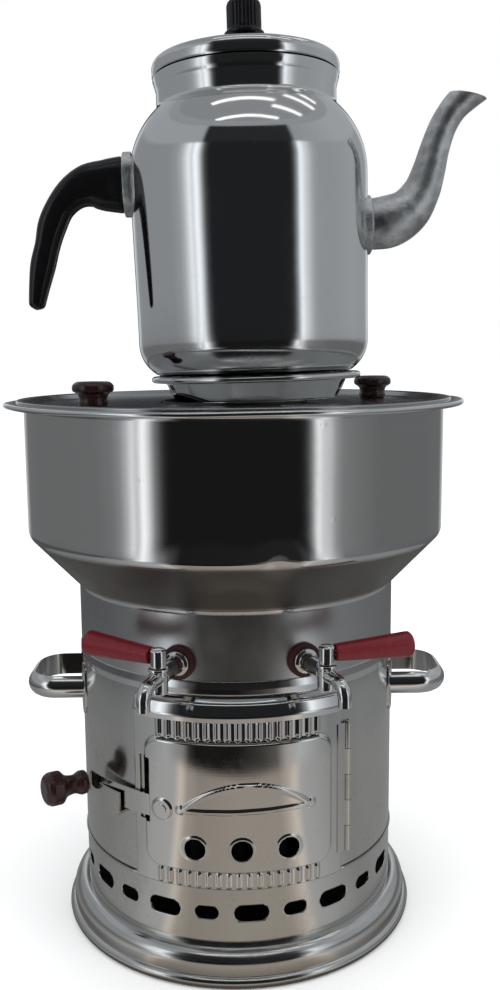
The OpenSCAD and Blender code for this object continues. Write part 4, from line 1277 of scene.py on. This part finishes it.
@dataclass
class PotRing:
    """The flared ring between flue and teapot, with gas vents and a rolled lip.

    Attributes:
        vents: how many vents stand over two thirds of the ring, at its sides and back.
        vent: width and height of a vent.
        height: the ring's height.
        sheet: its wall's thickness.
        foot: the wall's radius at its foot.
        flare: how much the radius grows with each millimetre up.
    """

    vents: int = 12
    vent: tuple[float, float] = (9.0, 5.0)
    height: float = 15.0
    sheet: float = 1.0
    foot: float = 50.0
    flare: float = 0.475

    def build(self) -> None:
        """Rolls the vented wall and lathes the foot's edge and the lip."""
        azimuth, height = np.linspace(0, 360, 289), np.linspace(0, 12.2, 15)
        patch, a, z = rolled(azimuth, height, lambda a, z: self.foot + z * self.flare)
        pitch = 240 / self.vents
        behind = np.abs(a - 180)
        index = np.clip(np.floor(behind / pitch), 0, self.vents / 2 - 1) + 0.5
        middle_r = self.foot + self.height / 2 * self.flare
        x = np.radians(behind - index * pitch) * middle_r
        inside = slot_depth(x, z - self.height / 2, *self.vent)
        patch = pierced(patch, inside, np.radians(a) * middle_r, z, 1.2)
        piece("ring_wall", patch.moved(ON_FLUE), MIRROR_STEEL, Body.RING, ("pot_ring",),
              Skin.ROLLED, self.sheet)
        lip = path((54.9, 11.6), (55.8, 12.0), (57.6, 14.0, 1.5), (60.6, 14.0), steps=6)
        roll = arc((62, 13.1), 1.9, 150, -190, 18)
        back = path((60.6, 15.0), (56.9, 15.0, 1.5), (54.6, 12.2), steps=6)
        edge = np.array([(39, -0.7), (40, -0.7), (40, -0.1), (50.1, -0.05), (50.1, 1), (39, 1)])
        parts = [lathe(line, steps=160) for line in (np.concatenate([lip, back]), roll)]
        parts.append(lathe(edge, steps=120))
        piece("ring_lip", joined(parts).moved(ON_FLUE), MIRROR_STEEL, Body.RING,
              ("pot_ring",))


# Rows of x, z, half height, half width
SPOUT = np.array([[-8, 0, 15, 15], [2, 0.4, 15, 15], [14, 2, 15.4, 15.4], [25, 8, 13.6, 13.6],
                  [33, 19, 11.2, 11.2], [37.5, 31, 9.8, 9.8], [41, 43, 8.8, 8.8], [46, 56, 8.2, 8.2],
                  [52.5, 66, 8.2, 8.2], [60, 73, 8.8, 8.8], [67, 79, 9.8, 9.8]])
HANDLE = np.array([[4.2, 0, 16.5, 11.5], [14, 0, 15, 11], [25, 0, 12.5, 10.5], [34.5, -4, 10, 10],
                   [42.5, -12, 8.5, 9.5], [48, -22.5, 8.4, 9], [51.5, -34, 7.4, 8.6], [55, -46, 7.4, 8.2],
                   [58, -59, 6, 7.4], [60.5, -72, 4.4, 6]])


def station(stations: Array, u: Array) -> Array:
    """Catmull-Rom values at places u between 0 and 1 along rows of numbers."""
    n = len(stations) - 1
    at = np.clip(u, 0, 1) * n
    i = np.minimum(at.astype(int), n - 1)
    t = (at - i)[..., None]
    a, b, c, d = (stations[np.clip(i + k, 0, n)] for k in (-1, 0, 1, 2))
    square, cube = 2 * a - 5 * b + 4 * c - d, 3 * b - a - 3 * c + d
    return 0.5 * (2 * b + (c - a) * t + square * t**2 + cube * t**3)


def swept(stations: Array, u: Array, angle: Array, grow: float = 0, squareness: float = 2) -> Array:
    """Points of a tube through stations in the XZ plane.

    Each section stands square to the line, a superellipse |h|^s + |w|^s = 1 of the station's
    half height and half width.

    Args:
        stations: rows of x, z, half height, half width.
        u: places along the line, 0 to 1.
        angle: places round the section, in radians, of the same shape.
        grow: added to both half sizes.
        squareness: s in the formula, 2 for an ellipse.

    Returns:
        Points of the same shape with a last axis of 3.
    """
    s = station(stations, u)
    d = station(stations, u + 0.004) - station(stations, u - 0.004)
    d = d[..., :2] / np.linalg.norm(d[..., :2], axis=-1, keepdims=True)
    c, w = np.cos(angle), np.sin(angle)
    c, w = np.sign(c) * np.abs(c) ** (2 / squareness), np.sign(w) * np.abs(w) ** (2 / squareness)
    h = (s[..., 2] + grow) * c
    return np.stack([s[..., 0] - d[..., 1] * h, (s[..., 3] + grow) * w, s[..., 1] + d[..., 0] * h], -1)


@dataclass
class Teapot:
    """The teapot: body, cast spout with its collar, bracket and moulded handle.

    Attributes:
        wall: the body's greatest radius.
        spout_z: height of the spout's root.
        grip_z: height of the handle's root.
    """

    wall: float = 70.7
    spout_z: float = 86.5
    grip_z: float = 114.0

    def body(self) -> None:
        """Lathes the body: round bottom corner, wall that swells, wide shoulder, flared neck."""
        rise = np.linspace(0, 1, 24)[1:-1]
        wall = np.stack([69.6 + 1.1 * smoothstep(rise, 0, 1), 19.4 + rise * 97.6], 1)
        outer = np.concatenate([[(0, 0), (30, 0), (54, 0), (57.5, 0.15), (59.9, 1.1)],
                                arc((47.6, 19.4), 22, -50, 0, 16), wall, arc((20.7, 117), 50, 0, 45, 26)])
        neck = path((56.06, 152.36), (53.2, 155.2, 4), (53.2, 165, 10), (55.0, 171.4), steps=8)
        outer = np.concatenate([outer, neck[1:]])
        lip = [(54.9, 171.9), (54.3, 172.0), (53.7, 171.8)]
        inner = sheet_side(outer[1:], 1.5)
        inner[:, 1] = np.maximum(inner[:, 1], 1.5)
        loop = np.concatenate([outer, lip, inner[::-1], [(0, 1.5)]])
        piece("pot_body", lathe(loop, steps=256, closed=False).moved(ON_RING), POT_STEEL,
              Body.TEAPOT, ("teapot_body",))

    def against_wall(self, x: Array, y: Array, z: Array) -> tuple[Array, Array, Array]:
        """Draws points that are inside the body's wall out to it."""
        deep = np.sqrt(np.maximum((self.wall - 1.0) ** 2 - y**2, 0))
        return np.where(np.abs(x) < deep, np.sign(x) * deep, x), y, z

    def spout(self) -> None:
        """Sweeps the spout's outside and bore, cuts the mouth and adds the collar."""
        around = np.linspace(0, 2 * np.pi, 56, endpoint=False)
        look = np.linspace(0.7, 1, 160)[:, None] + 0 * around
        tilt = math.radians(12)
        facing, through = np.array([math.sin(tilt), 0, math.cos(tilt)]), np.array([37, 0, 78])
        rows = []
        for grow, way in ((0.0, 1), (-2.0, -1)):
            past = (swept(SPOUT, look, around + 0 * look, grow) - through) @ facing > 0
            first = np.where(past.any(0), past.argmax(0), len(look) - 1)
            end = look[:, 0][first]
            t = np.linspace(0, 1, 72)[::way, None]
            rows.append(swept(SPOUT, 0.06 + t * (end - 0.06), around + 0 * t, grow))
        rim = (rows[0][-1] + rows[1][0]) / 2 + facing * 0.35
        tube_grid = np.concatenate([rows[0], rim[None], rows[1]])
        spout = Patch.grid(tube_grid, close_u=True, close_v=True)
        collar_line = path((15.0, -3), (17.4, -3), (17.4, 1.4, 0.9), (15.2, 2.6, 0.6), (15.0, 1), steps=6)
        collar = lathe(collar_line, steps=72).moved(Matrix.Rotation(math.radians(90), 4, "Y"))
        both = joined([spout, collar]).moved(Matrix.Translation((self.wall, 0, self.spout_z)))
        piece("spout_casting", both.mapped(self.against_wall).moved(ON_RING), CAST_ALUMINIUM,
              Body.TEAPOT, ("teapot_spout",))

    def handle(self) -> None:
        """Sweeps the moulded handle, rounds its tip and sets the bracket at its root."""
        around = np.linspace(0, 2 * np.pi, 48, endpoint=False)
        u, angle = np.meshgrid(np.linspace(0, 1, 110), around, indexing="ij")
        u = 1 - (1 - u) ** 1.25
        grid = swept(HANDLE, u, angle, 0, 2.6)
        middle = grid.mean(1, keepdims=True)
        taper = np.sqrt(1 - smoothstep(u, 0.955, 1.0) ** 2)[..., None]
        root = (0.94 + 0.06 * smoothstep(u, 0, 0.02))[..., None]
        grid = middle + (grid - middle) * taper * root
        handle = joined([Patch.grid(grid, close_v=True), disc_cap(grid[0], middle[0, 0]),
                         disc_cap(grid[-1], middle[-1, 0])])
        place = (Matrix.Translation((-self.wall, 0, self.grip_z)) @ Matrix.Rotation(math.pi, 4, "Z"))
        piece("handle_moulding", handle.moved(ON_RING @ place), BLACK_PLASTIC, Body.TEAPOT,
              ("teapot_handle",))
        turn = np.linspace(0, 2 * np.pi, 64, endpoint=False)
        y = 13.4 * np.cos(turn)
        z = 13.4 * np.sin(turn) + np.sign(np.sin(turn)) * 5.5
        rings = ((1, 2.0), (1, -3.0), (0.985, -3.7), (0.94, -3.95), (0.5, -3.95), (0, -3.95))
        rows = np.array([np.stack([x - self.wall + 0 * y, y * s, z * s + self.grip_z], 1) for s, x in rings])
        plate = Patch.grid(rows, close_v=True).mapped(self.against_wall)
        piece("bracket_casting", plate.moved(ON_RING), CAST_ALUMINIUM, Body.TEAPOT,
              ("handle_bracket",))

    def build(self) -> None:
        """Builds the teapot."""
        self.body()
        self.spout()
        self.handle()


@dataclass
class PotLid:
    """The teapot's lid and its ribbed knob.

    Attributes:
        seat: radius of the lid's edge.
        crown: height of its dome.
        knob: radius of the knob.
        knob_h: its height.
        ribs: how many ribs it has.
    """

    seat: float = 55.3
    crown: float = 18.0
    knob: float = 10.2
    knob_h: float = 26.3
    ribs: int = 24

    def plate(self) -> None:
        """Lathes the lid: a rolled edge, a steep shoulder and a shallow dome."""
        dome_r = 50.8
        ball = (dome_r**2 + 7.5**2) / 15
        start = 90 - math.degrees(math.asin(dome_r / ball))
        outer = np.concatenate([[(53.9, 0.15), (54.9, 0.5), (self.seat, 1.3), (self.seat, 3.8)],
                                arc((49.8, 5.0), 5.5, 5, 62, 9),
                                arc((0, self.crown - ball), ball, start + 0.9, 90, 28)])
        inner = sheet_side(outer[:-1], 1.1)[::-1]
        inner = inner[inner[:, 1] > 0.9]
        tail = [(51.9, 0.9), (51.9, -6.8), (50.9, -6.8), (50.9, 0.15)]
        loop = np.concatenate([outer, [(0, self.crown - 1.2)], inner, tail])
        piece("lid_dome", lathe(loop, steps=224, closed=True).moved(ON_MOUTH), POT_STEEL,
              Body.POT_LID, ("teapot_lid",))

    def ribbed_knob(self) -> None:
        """Lathes the knob and presses a groove between each two ribs into its side."""
        r, h = self.knob, self.knob_h
        line = path((0, 0), (r - 2, 0, 0.8), (r - 2.6, 5, 1.5), (r + 1.6, 6.4, 0.5), (r + 1.6, 7.6, 0.4),
                    (r, 8.8, 0.6), (r, h, 4.2), (0, h), steps=9)
        line = dense(line, 0.9)
        turn = np.linspace(0, 2 * np.pi, self.ribs * 12, endpoint=False)
        rad, z = line[:, :1], line[:, 1:]
        side = smoothstep(z, 9.0, 10.2) * smoothstep(rad, r - 3.6, r - 1.2)
        groove = 0.42 * np.exp(-((np.mod(turn * self.ribs / (2 * np.pi), 1) - 0.5) ** 2) / 0.03) * side
        rr = rad - groove
        points = np.stack([rr * np.sin(turn), -rr * np.cos(turn), z + 0 * turn], -1)
        place = ON_MOUTH @ Matrix.Translation((0, 0, self.crown))
        piece("knob_moulding", Patch.grid(points, close_v=True).moved(place), BLACK_PLASTIC,
              Body.POT_LID, ("teapot_lid_knob",))

    def build(self) -> None:
        """Builds the lid."""
        self.plate()
        self.ribbed_knob()
        dress(CHROME, "lid_knob_screw")


# ---------- Studio ----------

# Brightness round the room, as (azimuth, level): its walls low down, higher up and over the
# doorways, and its floor in rings from near to far
DOORS_LOW = (
    (-180, 0.02), (-163, 0.03), (-158, 0.5), (-153, 0.5), (-144, 0.18), (-74, 0.2), (-64, 0.24), (-59, 0.34),
    (-55, 0.6), (-52, 1.0), (-49, 0.75), (-46, 1.5), (-43, 0.9), (-40, 0.28), (-36, 0.05), (-33, 0.012),
    (33, 0.012), (36, 0.05), (38.5, 0.3), (41.5, 1.3), (44, 0.85), (48, 0.72), (51, 0.4), (55, 0.27),
    (62, 0.23), (77, 0.18), (144, 0.17), (153, 0.5), (158, 0.5), (163, 0.03), (180, 0.02))
DOORS_HIGH = (
    (-180, 0.03), (-163, 0.05), (-158, 0.7), (-153, 0.7), (-144, 0.34), (-80, 0.36), (-70, 0.43), (-65, 0.58),
    (-61, 0.85), (-57, 1.25), (-54, 0.95), (-50, 1.5), (-47, 1.05), (-44, 0.38), (-41, 0.08), (-37, 0.02),
    (37, 0.02), (40, 0.06), (43.5, 0.4), (47, 1.4), (51, 1.0), (55, 0.75), (60, 0.5), (65, 0.42), (80, 0.41),
    (110, 0.45), (144, 0.38), (153, 0.7), (158, 0.7), (163, 0.05), (180, 0.03))
LINTEL = ((-180, 0.45), (-60, 0.46), (-47, 0.45), (-43, 0.03), (41, 0.03), (45, 0.4), (100, 0.5), (180, 0.45))
FLOOR_NEAR = (
    (-180, 0.25), (-90, 0.26), (-60, 0.36), (-50, 0.47), (-39, 0.5), (-35, 0.72), (-31, 0.42), (-24, 0.32),
    (0, 0.37), (25, 0.37), (30, 0.5), (34.5, 0.72), (39, 0.5), (46, 0.46), (57, 0.38), (70, 0.3), (90, 0.32),
    (180, 0.25))
FLOOR_EDGE = (
    (-180, 0.2), (-85, 0.25), (-57, 0.36), (-45, 0.5), (-40, 0.4), (-34, 0.3), (-30, 0.05), (-26, 0.01),
    (0, 0.01), (14, 0.05), (24, 0.12), (30, 0.45), (38, 0.6), (45, 0.5), (52, 0.38), (60, 0.27), (90, 0.3),
    (180, 0.2))
FLOOR_GROUND = (
    (-180, 0.1), (-75, 0.1), (-58, 0.22), (-52, 0.5), (-46, 1.4), (-42, 0.9), (-38, 0.35), (-32, 0.1),
    (-26, 0.015), (26, 0.02), (34, 0.08), (38, 0.35), (41.5, 0.8), (45, 1.1), (51, 0.5), (56, 0.21),
    (75, 0.19), (180, 0.1))


@dataclass
class Studio:
    """Camera, lamps, floor, and the cards that the metal mirrors.

    Attributes:
        focal_px: the lens's focal length in the picture's pixels.
        image_h: the picture's height in pixels.
        film: height of the camera's film.
        eye: where the camera stands.
        pitch: how far it looks down, in degrees.
        yaw: how far it is turned to the right.
        roll: how far it leans.
        card_level: the cards' greatest brightness.
        reach: radius of the room of cards.
        high: height of its ceiling.
        tubes: depth, middle and half length of each lamp tube on the ceiling.
    """

    focal_px: float = 985.6
    image_h: float = 990.0
    film: float = 36.0
    eye: tuple[float, float, float] = (0.0, -611.2, 350.7)
    pitch: float = 8.24
    yaw: float = 0.873
    roll: float = -0.503
    card_level: float = 1.7
    reach: float = 1500.0
    high: float = 2300.0
    tubes: tuple[tuple[float, float, float], ...] = (
        (-1140, -50, 900), (-450, 950, 400), (-130, -110, 590), (330, 1020, 380), (800, 1050, 200))

    def camera(self) -> None:
        """Places the camera as it was fitted to the photograph."""
        data = bpy.data.cameras.new("camera")
        data.sensor_fit = "VERTICAL"
        data.sensor_height = self.film
        data.lens = self.film * self.focal_px / self.image_h
        data.clip_start, data.clip_end = 0.01, 50
        p, y, r = (math.radians(v) for v in (self.pitch, self.yaw, self.roll))
        ahead = Vector((math.sin(y) * math.cos(p), math.cos(y) * math.cos(p), -math.sin(p)))
        up = Vector((math.sin(y) * math.sin(p), math.cos(y) * math.sin(p), math.cos(p)))
        right = Vector((math.cos(y), -math.sin(y), 0))
        side, top = right * math.cos(r) + up * math.sin(r), up * math.cos(r) - right * math.sin(r)
        turn = Matrix((side, top, -ahead)).transposed().to_4x4()
        obj = bpy.data.objects.new("camera", data)
        obj.matrix_world = Matrix.Translation(Vector(self.eye) * MM) @ turn
        bpy.context.scene.collection.objects.link(obj)
        bpy.context.scene.camera = obj

    def lamp(self, name: str, place: tuple[float, float, float], size: tuple[float, float],
             power: float) -> None:
        """A soft area lamp that looks at the object and isn't mirrored."""
        data = bpy.data.lights.new(name, "AREA")
        data.shape, data.size, data.size_y, data.energy = "RECTANGLE", size[0], size[1], power
        obj = bpy.data.objects.new(name, data)
        obj.location = place
        obj.rotation_euler = (Vector((0, 0, 0.28)) - Vector(place)).to_track_quat("-Z", "Y").to_euler()
        obj.visible_glossy = False
        bpy.context.scene.collection.objects.link(obj)

    def world(self) -> None:
        """White behind the object and in its reflections, and plain light for the rest."""
        s = Shader("studio", "worlds")
        bpy.context.scene.world = s.owner
        ray = s.node("ShaderNodeLightPath").outputs
        mirrored = s.maths("MAXIMUM", ray["Is Glossy Ray"], ray["Is Transmission Ray"])
        seen = s.maths("MAXIMUM", ray["Is Camera Ray"], mirrored)
        plain = s.node("ShaderNodeBackground", None, Color=(0.985, 0.993, 1, 1), Strength=1.12)
        white = s.node("ShaderNodeBackground", None, Color=(1, 1, 1, 1), Strength=1.0)
        mix = s.node("ShaderNodeMixShader", None, in0=seen, in1=plain.outputs[0], in2=white.outputs[0])
        s.node("ShaderNodeOutputWorld", None, Surface=mix.outputs[0])

    def stage_mesh(self, name: str, patch: Patch, material: bpy.types.Material) -> bpy.types.Object:
        """A mesh that is part of the studio."""
        mesh = bpy.data.meshes.new(name)
        mesh.from_pydata((patch.points * MM).tolist(), [], patch.faces.tolist())
        mesh.materials.append(material)
        obj = bpy.data.objects.new(name, mesh)
        bpy.context.scene.collection.objects.link(obj)
        return obj

    def floor(self) -> None:
        """A wide pale floor that keeps the object's shadow."""
        shader = Shader("floor_paper")
        grain = shader.noise(shader.place(), 0.5, 3, 0.6)
        tint = shader.blend(grain, (0.955, 0.955, 0.955), (0.975, 0.975, 0.975))
        paper = shader.finish(Base_Color=tint, Roughness=0.9, Specular_IOR_Level=0.0)
        span = np.linspace(-30000, 30000, 3)
        x, y = np.meshgrid(span, span, indexing="ij")
        obj = self.stage_mesh("floor", Patch.grid(np.stack([x, y, 0 * x], -1)), paper)
        obj.visible_glossy = False

    def card(self, name: str, patch: Patch, shader: Shader, colour: bpy.types.NodeSocket) -> None:
        """A glowing card that only mirrored rays meet."""
        light = shader.node("ShaderNodeEmission", None, Color=colour, Strength=self.card_level)
        shader.node("ShaderNodeOutputMaterial", None, Surface=light.outputs[0])
        obj = self.stage_mesh(name, patch, shader.owner)
        for kind in ("camera", "diffuse", "transmission", "volume_scatter", "shadow"):
            setattr(obj, f"visible_{kind}", False)

    def grey(self, level: float, warm: float = 0.0) -> tuple[float, float, float]:
        """A card's grey for a wanted brightness, a little warm or cool."""
        v = level / self.card_level
        return (v * (1 + warm), v, v * (1 - warm))

    def round_ramp(self, s: Shader, side: "Value", warm: tuple[float, float],
                   *levels: tuple[float, float]) -> bpy.types.NodeSocket:
        """A ramp over the azimuth, from (azimuth, brightness) pairs between -180 and 180.

        Args:
            s: the card's shader.
            side: how far round a place is.
            warm: how warm the card is in front, and how warm elsewhere.
            levels: the pairs.

        Returns:
            The ramp's colour.
        """
        return s.ramp(side, *(((azimuth + 180) / 360, self.grey(level, warm[abs(azimuth) > 36]))
                              for azimuth, level in levels))

    def walls_colour(self, s: Shader, side: "Value", height: "Value") -> bpy.types.NodeSocket:
        """Brightness round the room: dark in front, a bright doorway at each side, grey beyond."""
        low = self.round_ramp(s, side, (-0.02, -0.02), *DOORS_LOW)
        high = self.round_ramp(s, side, (-0.055, -0.055), *DOORS_HIGH)
        lintel = self.round_ramp(s, side, (-0.06, -0.06), *LINTEL)
        doors = s.blend(height.rise(190, 420), low, high)
        walls = s.blend(height.rise(1080, 1200), doors, lintel)
        return s.blend(height.rise(1850, 1950), walls, self.grey(0.39, -0.06))

    def side_of(self, s: Shader, x: "Value", y: "Value") -> "Value":
        """How far round a place is, from 0 behind past the left to 0.5 in front and 1 behind."""
        return s.maths("ARCTAN2", x, y * -1.0) * (0.5 / math.pi) + 0.5

    def surround(self) -> None:
        """Walls, floor and ceiling that only mirrored rays meet, as the metal mirrors them."""
        reach, high, below, g = self.reach, self.high, -5.0, self.grey
        s = Shader("card_walls")
        x, y, z = s.parts(s.place())
        self.card("card_walls", lathe(np.array([(reach, below), (reach, high)]), steps=180, closed=False), s,
                  self.walls_colour(s, self.side_of(s, x, y), z))
        s = Shader("card_floor")
        x, y, z = s.parts(s.place())
        side, arm = self.side_of(s, x, y), (x.power(2) + y.power(2)).power(0.5)
        near = self.round_ramp(s, side, (0.11, -0.01), *FLOOR_NEAR)
        edge = self.round_ramp(s, side, (0.05, -0.03), *FLOOR_EDGE)
        ground = self.round_ramp(s, side, (0.0, -0.05), *FLOOR_GROUND)
        colour = s.blend(arm.rise(1000, 1350), ground, self.walls_colour(s, side, z))
        colour = s.blend(arm.rise(540, 600), edge, colour)
        colour = s.blend(arm.rise(400, 425), near, colour)
        # Painted shadow: next to the stove's foot the floor card is dark, standing in for the contact shadow
        # under the base that the hem and skirt mirror.
        colour = s.blend(arm.rise(112, 140), g(0.08, 0.05), colour)
        self.card("card_floor", lathe(np.array([(0.0, below), (reach, below)]), steps=180, closed=False), s,
                  colour)
        s = Shader("card_ceiling")
        x, y, z = s.parts(s.place())
        tube = 0.0
        for row, middle, half in self.tubes:
            tube = tube + abs(y - row).rise(60, 110, 1, 0) * abs(x - middle).rise(half, half + 60, 1, 0)
        self.card("card_ceiling", lathe(np.array([(0.0, high), (reach, high)]), steps=180, closed=False), s,
                  s.blend(tube, g(0.34, -0.06), g(self.card_level)))

    def build(self) -> None:
        """Builds the whole studio."""
        self.camera()
        self.world()
        self.floor()
        self.surround()
        self.lamp("lamp_left", (-1.3, -1.0, 1.1), (0.9, 1.3), 5)
        self.lamp("lamp_right", (1.3, -0.9, 1.1), (0.9, 1.3), 5)
        self.lamp("lamp_top", (0, -0.2, 1.9), (1.2, 1.2), 6)


def main() -> None:
    """Builds the studio and every sub-assembly in order."""
    logging.basicConfig(level=logging.INFO, format="%(name)s: %(message)s")
    bpy.context.scene.view_settings.view_transform = "Standard"
    for part in (Studio(), Stove(), Door(), Latch(), Tank(), Tap("left", -19, -106), Tap("right", 22, 86),
                 TankLid(), PotRing(), Teapot(), PotLid()):
        LOG.info("building %s", type(part).__name__)
        part.build()


if __name__ == "__main__":
    main()
